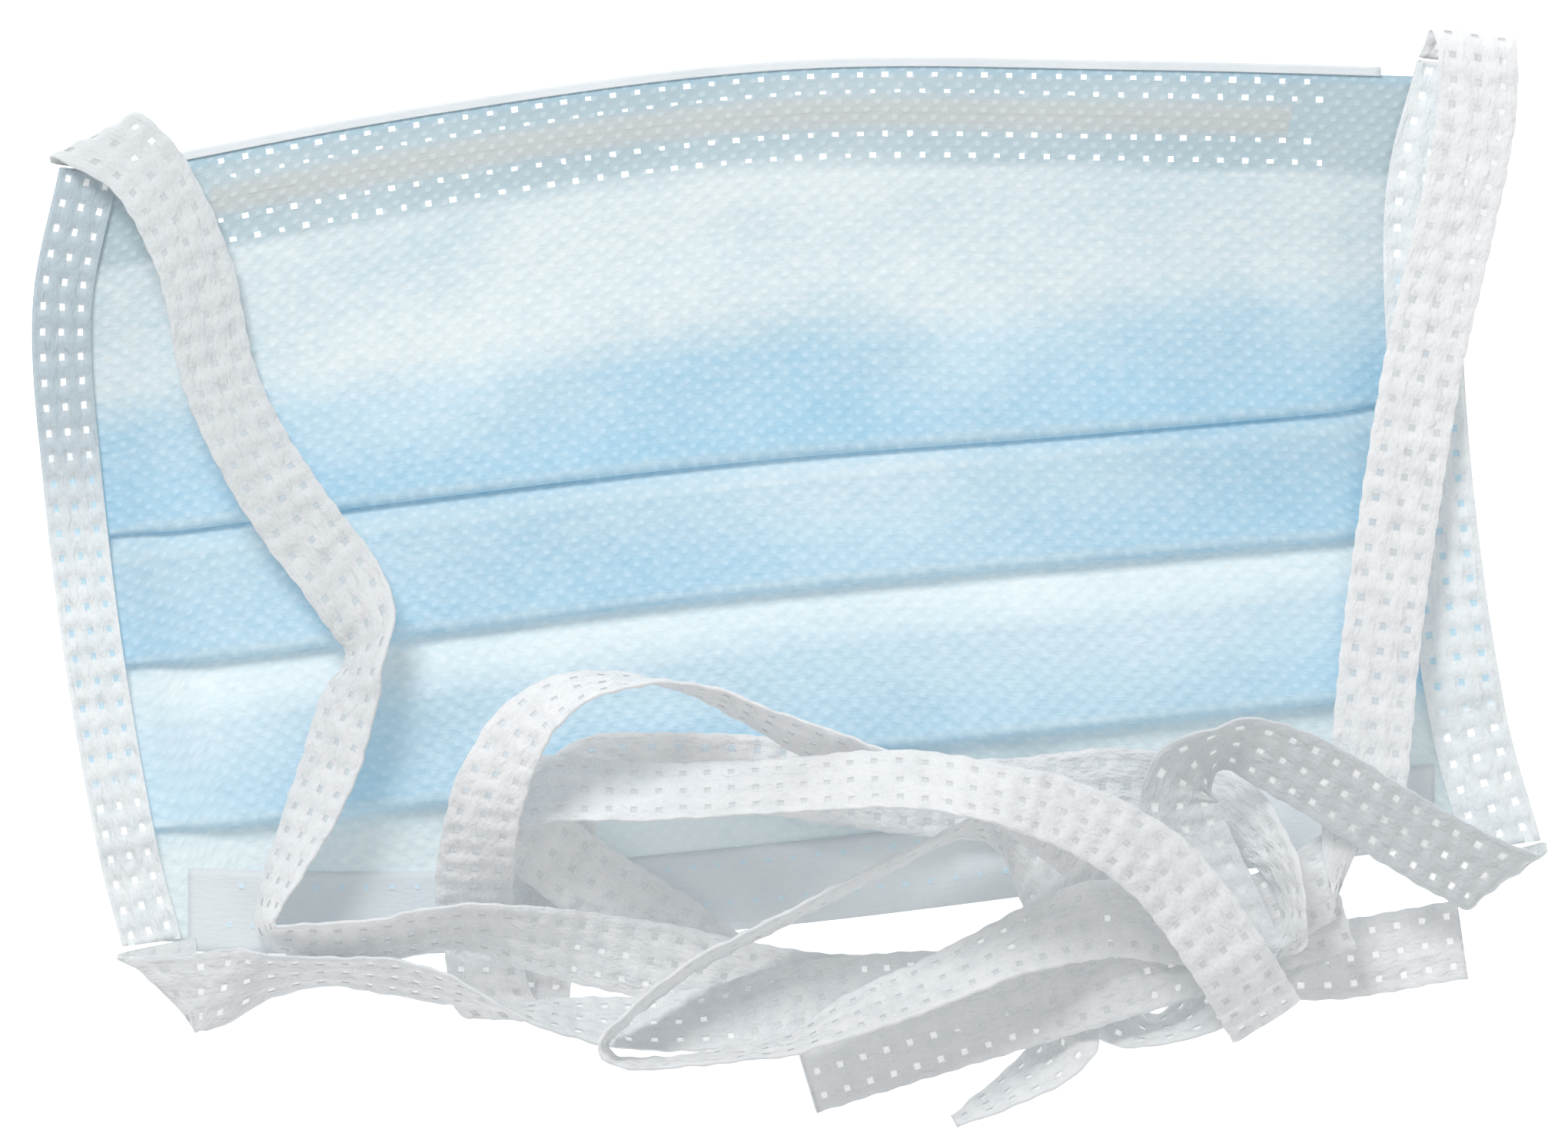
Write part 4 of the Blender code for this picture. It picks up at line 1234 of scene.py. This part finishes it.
@dataclass
class Lay:
    """How the four ties lie: each along its table, settled on what is under it.

    Attributes:
        form: The mask's form.
        tables: One table for each tie.
        section_step: The length between two sections of a route.
        section_turn: How far a route turns and tips between two sections at most, in radians.
        probe_step: The length between two rows of probes.
        probe_reach: How near two probes are in plan when they lie over each other.
        probe_room: How far round a probe the ground is looked for.
        start_room: How far from its start a tie stays as it is drawn.
        self_room: How far on along a tie its probes count as crossing it.
        strap_room: The least height between the middles of two ties that cross.
        crossing_span: Sections within which near pairs belong to one crossing.
        steps: Rounds of settling.
    """

    form: MaskForm
    tables: Sequence[Rows]
    section_step: float = 0.0035
    section_turn: float = 0.30
    probe_step: float = 0.0012
    probe_reach: float = 0.0013
    probe_room: float = 0.0007
    start_room: float = 0.003
    self_room: float = 0.016
    strap_room: float = TAPE_WALL + NEIGHBOUR_GAP + 0.0002
    crossing_span: int = 2
    steps: int = 120

    def route(self, rows: Rows) -> np.ndarray:
        """The sections of a tie along its table.

        Args:
            rows: The tie's table.

        Returns:
            Rows of x, y and z of the middle, turn and slope of the breadth.
        """
        knots = []
        for across, up, rise, turn, slope in rows:
            x, y = across * MASK_WIDTH, up * MASK_HEIGHT
            z = rise * TIE_WIDTH + self.form.dome(x, y)
            knots.append((x, y, z, math.radians(turn), math.radians(slope)))
        knots = np.array(knots)
        lengths = np.linalg.norm(np.diff(knots[:, :3], axis=0), axis=1)
        spans = np.sqrt(lengths)
        steps = np.diff(knots, axis=0) / spans[:, None]
        slopes = slopes_of(knots, spans)
        for k in range(1, len(knots) - 1):
            low, high = steps[k - 1, 2], steps[k, 2]
            slopes[k, 2] = 2.0 * low * high / (low + high) if low * high > 0.0 else 0.0
        samples = []
        for k in range(len(spans)):
            turned = abs(knots[k + 1, 3:] - knots[k, 3:]).sum()
            parts = max(2, round(lengths[k] / self.section_step), math.ceil(turned / self.section_turn))
            samples += [cubic(knots, slopes, spans, k, i / parts) for i in range(parts)]
        return np.array(samples + [knots[-1]])

    def spans_of(self, samples: np.ndarray) -> tuple[np.ndarray, np.ndarray]:
        """The half breadth of each section as a vector, and its unit normal."""
        count = np.arange(len(samples))
        along = samples[np.minimum(count + 1, len(samples) - 1), :3] - samples[np.maximum(count - 1, 0), :3]
        along /= np.linalg.norm(along, axis=1)[:, None]
        turn, slope = samples[:, 3], samples[:, 4]
        level = np.cos(slope)
        breadth = np.stack((level * np.cos(turn), level * np.sin(turn), np.sin(slope)), axis=1)
        square = np.cross(along, breadth)
        size = np.linalg.norm(square, axis=1)
        reach = TIE_WIDTH / 2 / np.maximum(0.9, size)
        return breadth * reach[:, None], square / size[:, None]

    def probes(self, samples: np.ndarray) -> np.ndarray:
        """Points spread over a tie: section, share on to the next, x, y and rise over the middle."""
        half, _ = self.spans_of(samples)
        places = []
        for k in range(len(samples) - 1):
            length = np.linalg.norm(samples[k + 1, :2] - samples[k, :2])
            parts = max(1, math.ceil(length / self.probe_step))
            for i in range(parts):
                t = i / parts
                middle = samples[k, :2] * (1.0 - t) + samples[k + 1, :2] * t
                arm = half[k] * (1.0 - t) + half[k + 1] * t
                for side in np.linspace(-1.0, 1.0, 9):
                    places.append((k, t, middle[0] + arm[0] * side, middle[1] + arm[1] * side, arm[2] * side))
        return np.array(places)

    def ground(self, tree: BVHTree, x: float, y: float) -> float:
        """The top of what is built so far near a place, or the table."""
        room = self.probe_room
        around = ((room, room), (room, -room), (-room, room), (-room, -room))
        return max(top_at(tree, x + dx, y + dy, 0.0) for dx, dy in around)

    def lowest(self, tree: BVHTree, points: np.ndarray, walked: np.ndarray) -> np.ndarray:
        """The lowest that each section may lie.

        Args:
            tree: The faces of what the ties lie on.
            points: The probes of all ties.
            walked: How far along its tie each section is.

        Returns:
            One height a section.
        """
        levels = np.zeros(len(walked))
        for section, _, x, y, rise in points:
            k = int(section)
            if walked[k] >= self.start_room:
                level = self.ground(tree, x, y) + TAPE_WALL / 2 + NEIGHBOUR_GAP - rise
                levels[k:k + 2] = np.maximum(levels[k:k + 2], level)
        return levels

    def near_pairs(self, points: np.ndarray, owner: np.ndarray, walked: np.ndarray) -> np.ndarray:
        """The pairs of probes that lie over each other.

        Args:
            points: The probes of all ties.
            owner: The tie of each section.
            walked: How far along its tie each section is.

        Returns:
            The first and the second probes of the pairs.
        """
        section = points[:, 0].astype(int)
        near = KDTree(len(points))
        for i, (_, _, x, y, _) in enumerate(points):
            near.insert((x, y, 0.0), i)
        near.balance()
        pairs = []
        for i, (_, _, x, y, _) in enumerate(points):
            for _, j, _ in near.find_range((x, y, 0.0), self.probe_reach):
                a, b = section[i], section[j]
                if j <= i or walked[a] < self.start_room or walked[b] < self.start_room:
                    continue
                if owner[a] == owner[b] and abs(walked[a] - walked[b]) < self.self_room:
                    continue
                pairs.append((i, j))
        return np.array(pairs).T

    def order(self, one: np.ndarray, two: np.ndarray, above: np.ndarray) -> np.ndarray:
        """Which of two near ties lies over at their crossing.

        Args:
            one: The first tie's section in each near pair.
            two: The second tie's.
            above: How far the first lies over the second there.

        Returns:
            1 where the first tie lies over at that crossing and -1 elsewhere.
        """
        cells: dict[tuple[int, int], float] = {}
        for a, b, rise in zip(one, two, above):
            cells[(a, b)] = cells.get((a, b), 0.0) + rise
        crossing: dict[tuple[int, int], int] = {}
        totals: list[float] = []
        reach = range(-self.crossing_span, self.crossing_span + 1)
        for seed in cells:
            if seed in crossing:
                continue
            label = len(totals)
            totals.append(0.0)
            crossing[seed] = label
            waiting = [seed]
            while waiting:
                a, b = waiting.pop()
                totals[label] += cells[(a, b)]
                for near in ((a + da, b + db) for da in reach for db in reach):
                    if near in cells and near not in crossing:
                        crossing[near] = label
                        waiting.append(near)
        return np.array([1.0 if totals[crossing[(a, b)]] > 0.0 else -1.0 for a, b in zip(one, two)])

    def settle(self, tree: BVHTree) -> list[np.ndarray]:
        """Lays the ties on what is under them, and clear of each other where they cross.

        Args:
            tree: The faces of what they lie on.

        Returns:
            The settled sections of each tie.
        """
        routes = [self.route(rows) for rows in self.tables]
        first = np.cumsum([0] + [len(samples) for samples in routes])
        drawn = np.concatenate([samples[:, 2] for samples in routes])
        owner = np.concatenate([[i] * len(samples) for i, samples in enumerate(routes)])
        runs = [np.linalg.norm(np.diff(samples[:, :3], axis=0), axis=1) for samples in routes]
        walked = np.concatenate([np.concatenate(([0.0], np.cumsum(run))) for run in runs])
        points = []
        for i, samples in enumerate(routes):
            places = self.probes(samples)
            places[:, 0] += first[i]
            points.append(places)
        points = np.concatenate(points)
        section = points[:, 0].astype(int)
        ahead, offset = points[:, 1], points[:, 4]
        lowest = self.lowest(tree, points, walked)
        one, two = self.near_pairs(points, owner, walked)

        def level_of(heights: np.ndarray, which: np.ndarray) -> np.ndarray:
            """The height of some probes."""
            k = section[which]
            return heights[k] * (1.0 - ahead[which]) + heights[k + 1] * ahead[which] + offset[which]

        heights = np.maximum(drawn, lowest)
        above = level_of(drawn, one) - level_of(drawn, two)
        sign = self.order(section[one], section[two], above)
        over = np.where(sign > 0, section[one], section[two])
        under = np.where(sign > 0, section[two], section[one])
        inner = np.ones(len(heights), dtype=bool)
        inner[first[:-1]] = False
        inner[first[1:] - 1] = False
        middle = np.nonzero(inner)[0]
        for step in range(self.steps):
            short = self.strap_room - sign * (level_of(heights, one) - level_of(heights, two))
            short = np.maximum(0.0, short)
            up, down = np.zeros(len(heights)), np.zeros(len(heights))
            for extra in (0, 1):
                np.maximum.at(up, over + extra, short)
                np.maximum.at(down, under + extra, short)
            heights = heights + 0.5 * up - 0.3 * down
            if step < self.steps * 0.8:
                lift = heights - drawn
                eased = lift.copy()
                eased[middle] = (lift[middle - 1] + 2.0 * lift[middle] + lift[middle + 1]) / 4.0
                heights = drawn + eased
            heights = np.maximum(heights, lowest)
        settled = []
        for i, samples in enumerate(routes):
            samples = samples.copy()
            samples[:, 2] = heights[first[i]:first[i + 1]]
            settled.append(samples)
        return settled

    def tape(self, name: str, samples: np.ndarray, look: Row) -> Tape:
        """A fine tape through a tie's sections.

        Args:
            name: The piece's name.
            samples: The tie's sections.
            look: How far what lies under shows, with its painted shade, at its start and further on, and how
                light its
            perforations are at its start.

        Returns:
            The tape, ready to build.
        """
        half, normal = self.spans_of(samples)
        held = np.hstack((samples[:, :3] + np.array(ON_TABLE), half, normal))
        lengths = np.linalg.norm(np.diff(samples[:, :3], axis=0), axis=1)
        run = np.concatenate(([0.0], np.cumsum(lengths)))
        places, near, even = lattice(run[-1])
        k = np.clip(np.searchsorted(run, places, side="right") - 1, 0, len(lengths) - 1)
        fine = cubic(held, slopes_of(held, lengths), lengths, k, (places - run[k]) / lengths[k])
        straight = fine[:, 6:] / np.linalg.norm(fine[:, 6:], axis=1)[:, None]
        start, further, clear = look
        # Show-through and painted shade change over the tape's first stretch
        share = np.clip((places - 0.05) / 0.06, 0.0, 1.0)
        tint = start + (further - start) * share
        clear = clear * (1.0 - share)
        return Tape(name, fine[:, :3], fine[:, 3:6], straight, places, near, even, tint, clear)


@dataclass
class Binding:
    """The tape folded round a side of the mask.

    Attributes:
        name: The piece's name.
        form: The mask's form.
        side: The side's line.
        share: Its breadth beside the tie's.
        outward: -1 on the left side and 1 on the right.
        clear: Height shares between which its perforations show what is under the mask.
        wall: Its thickness.
        least_top: The lowest that its upper face may lie.
        pit: How far its perforations are pressed in.
    """

    name: str
    form: MaskForm
    side: Rows
    share: float
    outward: int
    clear: tuple[float, float]
    wall: float = 0.00045
    least_top: float = 0.0015
    pit: float = 0.00015

    def levels(self, tree: BVHTree, places: np.ndarray) -> np.ndarray:
        """How high the cloth under the binding reaches at each place along it.

        Args:
            tree: The cloth's faces.
            places: The middle line's x, y and the way inward, by place.

        Returns:
            One height a place, evened out.
        """
        reaches = (0.0, 0.5, 0.95)
        tops = [
            max(top_at(tree, x + in_x * reach, y + in_y * reach, self.least_top) for reach in reaches)
            for x, y, in_x, in_y in places
        ]
        padded = np.pad(tops, 5, mode="edge")
        wide = np.max([padded[i:i + len(tops)] for i in range(11)], axis=0)
        padded = np.pad(wide, 3, mode="edge")
        return np.mean([padded[i:i + len(tops)] for i in range(7)], axis=0)

    def round_off(self, across: float) -> float:
        """How far the faces close in on each other at the folded edge."""
        return 0.0006 * smooth((-0.86 - across) / 0.14)

    def build(self, material: bpy.types.Material, tree: BVHTree) -> bpy.types.Object:
        """Makes the binding.

        Args:
            material: Its finish.
            tree: The cloth's faces, which it is folded round.

        Returns:
            The piece.
        """
        form = self.form
        y_top, y_bottom = self.side[0][0] * MASK_HEIGHT, self.side[-1][0] * MASK_HEIGHT
        half = TIE_WIDTH * self.share / 2
        length = y_top - y_bottom
        run, near, even = lattice(length)
        rows = []
        for s in run:
            y = y_top - s
            ahead = form.side_x(self.side, y - 0.001) - form.side_x(self.side, y + 0.001)
            along = Vector((ahead, -0.002)).normalized()
            inward = Vector((-along.y, along.x))
            if inward.x * self.outward > 0:
                inward = -inward
            rows.append((form.side_x(self.side, y), y, inward.x * half, inward.y * half))
        rows = np.array(rows)
        top = self.levels(tree, rows) + NEIGHBOUR_GAP
        across = columns()
        beside = beside_rows(across)
        rings = []
        low, high = self.clear
        for k, (x, y, in_x, in_y) in enumerate(rows):
            share = y / MASK_HEIGHT
            seen = 1.0 - smooth((share - low) / 0.05) * smooth((high - share) / 0.05)
            tint = 0.10 + 0.70 * smooth((share + 0.02) / 0.24) * (self.outward < 0)
            ring = []
            for s, b in zip(across[::-1], beside[::-1]):
                swell = smooth((math.hypot(near[k], b) - 0.0004) / 0.0012)
                pit = self.pit if max(near[k], b) <= HOLE_SIZE / 2 + 1e-6 else 0.0
                z = top[k] + self.wall * (0.25 + 0.75 * swell) - self.round_off(s) - pit
                ring.append((s, z, s * TIE_WIDTH / 2, even[k], seen, tint, 1.0 - swell))
            for s in np.linspace(-1.0, 1.0, 9):
                z = 0.0004 + self.round_off(s) if s > -0.99 else top[k] * 0.4
                ring.append((s, z, s * half, run[k] + 0.2, 0.0, 0.2, 0.0))
            inner = top[k] - 0.0001
            for s, z in ((1.0, 0.0008), (-0.88, 0.0009), (-0.88, inner), (1.0, inner)):
                ring.append((s, z, s * half, run[k] + 0.3, 0.0, 0.2, 0.0))
            rings.append([(x + in_x * s, y + in_y * s, *held) for s, *held in ring[:: -self.outward]])
        rings = np.array(rings)
        marks = {name: rings[..., 5 + i] for i, name in enumerate(("through", "tint", "rim"))}
        return Grid(self.name, rings[..., :3] + np.array(ON_TABLE), rings[..., 3:5], marks).build((material,))


@dataclass
class WeldRows:
    """Rows of small welds through the cloth, made by Geometry Nodes along lines on it.

    Attributes:
        name: The piece's name.
        form: The mask's form.
        edge: The edge that the rows follow.
        depths: How far in from the edge each row is.
        span: The two x between which the rows run.
        inward: 1 where the mask's middle lies up the mask from the edge, -1 where it lies down.
        lift: How far the lines lie over the cloth.
        pitch: The step from one weld to the next.
        size: A weld's length, breadth and height.
        points: Points along each line.
    """

    name: str
    form: MaskForm
    edge: Row
    depths: Row
    span: tuple[float, float]
    inward: int
    lift: float
    pitch: float = 0.0031
    size: Row = (0.00076, 0.00066, 0.00022)
    points: int = 120

    def lines(self) -> bpy.types.Object:
        """The rows as open curves on the cloth."""
        curve = bpy.data.curves.new(self.name + "_lines", "CURVE")
        curve.dimensions = "3D"
        for number, depth in enumerate(self.depths):
            spline = curve.splines.new("POLY")
            spline.points.add(self.points - 1)
            for i, point in enumerate(spline.points):
                x = self.span[0] + (self.span[1] - self.span[0]) * i / (self.points - 1)
                x += self.pitch * 0.5 * (number % 2)
                y = self.form.line_y(self.edge, x) + self.inward * depth
                z = self.form.cloth_top(x, y) + self.form.uneven(x, y) + self.lift
                point.co = (*(Vector((x, y, z)) + ON_TABLE), 1.0)
        return put(curve.name, curve)

    def tree(self, material: bpy.types.Material) -> bpy.types.NodeTree:
        """The nodes that set a weld at each pitch of the lines.

        Args:
            material: The welds' finish.

        Returns:
            The node group, with named inputs for the welds' pitch and size.
        """
        group = bpy.data.node_groups.new(self.name, "GeometryNodeTree")
        face = group.interface
        for name, kind in (("Geometry", "Geometry"), ("Pitch", "Float"), ("Weld", "Vector"), ("Seed", "Int")):
            face.new_socket(name, in_out="INPUT", socket_type="NodeSocket" + kind)
        face.new_socket("Geometry", in_out="OUTPUT", socket_type="NodeSocketGeometry")
        nodes, links = group.nodes, group.links
        start, end = nodes.new("NodeGroupInput"), nodes.new("NodeGroupOutput")
        spread = nodes.new("GeometryNodeResampleCurve")
        spread.mode = "LENGTH"
        links.new(start.outputs["Geometry"], spread.inputs["Curve"])
        links.new(start.outputs["Pitch"], spread.inputs["Length"])
        weld = nodes.new("GeometryNodeMeshCube")
        links.new(start.outputs["Weld"], weld.inputs["Size"])
        tangent = nodes.new("GeometryNodeInputTangent")
        turn = nodes.new("FunctionNodeAlignRotationToVector")
        turn.axis = "X"
        links.new(tangent.outputs[0], turn.inputs["Vector"])
        vary = nodes.new("FunctionNodeRandomValue")
        vary.data_type = "FLOAT_VECTOR"
        vary.inputs["Min"].default_value = (0.75, 0.75, 0.9)
        vary.inputs["Max"].default_value = (1.2, 1.15, 1.1)
        links.new(start.outputs["Seed"], vary.inputs["Seed"])
        place = nodes.new("GeometryNodeInstanceOnPoints")
        links.new(spread.outputs[0], place.inputs["Points"])
        links.new(weld.outputs["Mesh"], place.inputs["Instance"])
        links.new(turn.outputs[0], place.inputs["Rotation"])
        links.new(vary.outputs["Value"], place.inputs["Scale"])
        real = nodes.new("GeometryNodeRealizeInstances")
        links.new(place.outputs[0], real.inputs[0])
        dress = nodes.new("GeometryNodeSetMaterial")
        dress.inputs["Material"].default_value = material
        links.new(real.outputs[0], dress.inputs["Geometry"])
        links.new(dress.outputs[0], end.inputs["Geometry"])
        return group

    def build(self, material: bpy.types.Material) -> bpy.types.Object:
        """Makes the welds as a plain mesh.

        Args:
            material: Their finish.

        Returns:
            The piece.
        """
        lines = self.lines()
        modifier = lines.modifiers.new("welds", "NODES")
        group = self.tree(material)
        modifier.node_group = group
        sizes = {"Pitch": self.pitch, "Weld": self.size, "Seed": 7}
        for item in group.interface.items_tree:
            if item.in_out == "INPUT" and item.name in sizes:
                modifier[item.identifier] = sizes[item.name]
        bpy.context.view_layer.update()
        seen = lines.evaluated_get(bpy.context.evaluated_depsgraph_get())
        mesh = bpy.data.meshes.new_from_object(seen)
        lines.modifiers.remove(modifier)
        bpy.data.objects.remove(lines)
        if not mesh.materials:
            mesh.materials.append(material)
        return put(self.name, mesh)


@dataclass(frozen=True)
class WeldFinish:
    """A weld: the sheets pressed thin, so that the light surface under them shows, with a painted glow.

    Attributes:
        name: The material's name.
        light: The paler of its colours.
        dark: The deeper of its colours.
        glow: How much painted glow stands in for light that comes through.
    """

    name: str
    light: Row
    dark: Row
    glow: float

    def make(self) -> bpy.types.Material:
        """Builds the material.

        Returns:
            The finished material.
        """
        kit = Shader(self.name)
        place = kit.node("ShaderNodeTexCoord", {}, {})
        cells = kit.noise(place.outputs["Object"], 1500.0, 3.0)
        kit.bump(cells, 0.0001, 0.4)
        colour = kit.mix(((cells - 0.5) * 2.0 + 0.35).clamped(), self.light, self.dark)
        # Painted glow, for light through the pressed sheets
        kit.glow(colour, self.glow)
        return kit.finish(colour, cells * 0.2 + 0.4)


def tree_of(objects: Sequence[bpy.types.Object]) -> BVHTree:
    """A search tree of the faces of some objects, in the row frame.

    Args:
        objects: The objects.

    Returns:
        The tree.
    """
    points, faces = [], []
    for each in objects:
        first = len(points)
        points += [each.matrix_world @ vertex.co for vertex in each.data.vertices]
        faces += [[first + i for i in face.vertices] for face in each.data.polygons]
    return BVHTree.FromPolygons(points, faces)


@dataclass
class Stage:
    """The table, the lights and the camera.

    Attributes:
        view_width: How much of the table the picture shows from side to side.
        distance: The camera's height over the table.
    """

    view_width: float = 0.19806
    distance: float = 2.6

    def table(self) -> bpy.types.Object:
        """The surface that the mask lies on."""
        half = 1.5
        corners = [(-half, -half, 0.0), (half, -half, 0.0), (half, half, 0.0), (-half, half, 0.0)]
        mesh = bpy.data.meshes.new("table")
        mesh.from_pydata(corners, [], [(0, 1, 2, 3)])
        mesh.materials.append(TableFinish().make())
        made = put("table", mesh)
        made.location.z = -0.0002
        return made

    def light(self, name: str, place: Row, size: float, power: float) -> None:
        """An area light that looks at the mask.

        Args:
            name: Its name.
            place: Where it stands.
            size: Its side.
            power: Its power in watts.
        """
        lamp = bpy.data.lights.new(name, "AREA")
        lamp.size = size
        lamp.energy = power
        made = put(name, lamp)
        made.location = place
        made.rotation_euler = Vector(place).to_track_quat("Z", "Y").to_euler()

    def build(self) -> None:
        """Sets the table, lights, sky and camera."""
        self.table()
        self.light("key", (-0.30, 0.62, 0.78), 0.35, 5.6)
        self.light("fill", (0.6, -0.5, 0.9), 0.9, 1.5)
        world = bpy.data.worlds.new("studio")
        world.use_nodes = True
        sky = world.node_tree.nodes["Background"]
        sky.inputs["Color"].default_value = (1.0, 1.0, 1.0, 1.0)
        sky.inputs["Strength"].default_value = 0.55
        bpy.context.scene.world = world
        lens = bpy.data.cameras.new("camera")
        lens.sensor_width = 36.0
        lens.lens = 36.0 * self.distance / self.view_width
        lens.clip_start = 0.1
        lens.clip_end = 20.0
        camera = put("camera", lens)
        camera.location = (ON_TABLE.x, ON_TABLE.y, self.distance)
        bpy.context.scene.camera = camera
        bpy.context.scene.view_settings.view_transform = "Standard"


class FaceMask:
    """The whole mask, piece by piece."""

    def __init__(self) -> None:
        """Sets out the form and the finishes."""
        self.form = MaskForm()
        self.laminate = LaminateFinish().make()
        self.lining = LiningFinish().make()
        # A darker copy of the white lining: painted shade on the hems
        self.hem_cloth_painted_shade = LiningFinish("hem_lining_painted_shade", (0.66, 0.70, 0.72), (0.56, 0.62, 0.66)).make()
        self.binding_tape = TapeFinish(
            "binding_tape", (0.80, 0.83, 0.84), (0.68, 0.73, 0.76), (0.34, 0.43, 0.480),
            (1.0, 1.0, 1.0), (0.50, 0.68, 0.78), 0.0
        ).make()
        self.tie_tape = TapeFinish(
            "tie_tape", (0.77, 0.78, 0.79), (0.65, 0.67, 0.69), (0.48, 0.525, 0.545),
            (1.0, 1.0, 1.0), (0.74, 0.76, 0.77), 0.55, 5200.0
        ).make()
        self.cloth: bpy.types.Object | None = None

    def keep(self, made: bpy.types.Object, slot: Slot, *nodes: Piece) -> bpy.types.Object:
        """Lets a piece ride on the mask and stand for its CAD solids.

        Args:
            made: The piece.
            slot: Its material slot. Not used.
            nodes: What it stands for.

        Returns:
            The piece.
        """
        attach(made, "root")
        if nodes:
            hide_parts(*[node.value for node in nodes])
        log.info("%s: %d faces", made.name, len(made.data.polygons))
        return made

    def build_cloth(self) -> list[bpy.types.Object]:
        """Makes the pleated cloth and what is folded round or welded into it.

        Returns:
            The pieces that go with the cloth.
        """
        form = self.form
        self.cloth = self.keep(Cloth(form).build(self.laminate, self.lining), Slot.LAMINATE, Piece.CLOTH)
        tree = tree_of([self.cloth])
        hems = (
            (Hem("turned_top_edge", form, TOP_EDGE, -1, 0.0012, 0.0140, CASING_ROOM), Piece.TOP_HEM),
            (Hem("bottom_band", form, BOTTOM_EDGE, 1, 0.0105, 0.0080, 0.0), Piece.BOTTOM_HEM),
        )
        sides = (
            (Binding("left_fold", form, LEFT_SIDE, 0.75, -1, (-0.30, 0.16)), Piece.LEFT_BINDING),
            (Binding("right_fold", form, RIGHT_SIDE, 0.97, 1, (-0.20, 0.40)), Piece.RIGHT_BINDING),
        )
        with_it = [self.keep(hem.build(self.hem_cloth_painted_shade), Slot.LINING, node) for hem, node in hems]
        for side, node in sides:
            with_it.append(self.keep(side.build(self.binding_tape, tree), Slot.BINDING, node))
        pale = WeldFinish("clear_welds", (1.0, 1.0, 1.0), (0.86, 0.93, 0.96), 0.35).make()
        blue = WeldFinish("blue_welds", (0.64, 0.76, 0.82), (0.54, 0.70, 0.79), 0.14).make()
        depths = (0.0022, 0.0044, 0.0097, 0.0124)
        rows = WeldRows("casing_welds", form, TOP_EDGE, depths, (-0.071, 0.066), -1, 0.00002)
        with_it.append(self.keep(rows.build(pale), Slot.LAMINATE))
        rows = WeldRows("band_welds", form, BOTTOM_EDGE, (0.0035, 0.0085), (-0.070, 0.050), 1, 0.00032)
        with_it.append(self.keep(rows.build(blue), Slot.LINING))
        return with_it

    def dress_wire(self) -> None:
        """Gives the strip in the casing its finish."""
        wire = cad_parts[Piece.WIRE.value]
        finish = WireFinish().make()
        if not wire.material_slots:
            wire.data.materials.append(finish)
        for held in wire.material_slots:
            held.material = finish

    def build_ties(self) -> None:
        """Lays the four ties over the mask."""
        ties = (
            # look: show-through and painted shade at the start and further on, and how light the first
            # perforations are; the bottom right tie's first stretch is greyer, turned from the light
            (Piece.UPPER_LEFT_TIE, UPPER_LEFT_TIE, (0.60, 0.20, 0.0)),
            (Piece.LOWER_LEFT_TIE, LOWER_LEFT_TIE, (0.40, 0.25, 0.0)),
            (Piece.UPPER_RIGHT_TIE, UPPER_RIGHT_TIE, (0.00, 0.20, 0.0)),
            (Piece.LOWER_RIGHT_TIE, LOWER_RIGHT_TIE, (0.75, 0.12, 1.0)),
        )
        lay = Lay(self.form, [rows for _, rows, _ in ties])
        laid = [piece for piece, _, _ in ties]
        tree = tree_of([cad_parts[piece.value] for piece in Piece if piece not in laid])
        for (piece, _, look), samples in zip(ties, lay.settle(tree)):
            tape = lay.tape(piece.value + "_tape", samples, look)
            made = self.keep(tape.build(self.tie_tape), Slot.TIE, piece)

    def build(self) -> None:
        with_it = self.build_cloth()
        self.dress_wire()
        self.build_ties()


def main() -> None:
    """Builds the scene."""
    logging.basicConfig(level=logging.INFO, format="%(name)s: %(message)s")
    Stage().build()
    FaceMask().build()


if __name__ == "__main__":
    main()
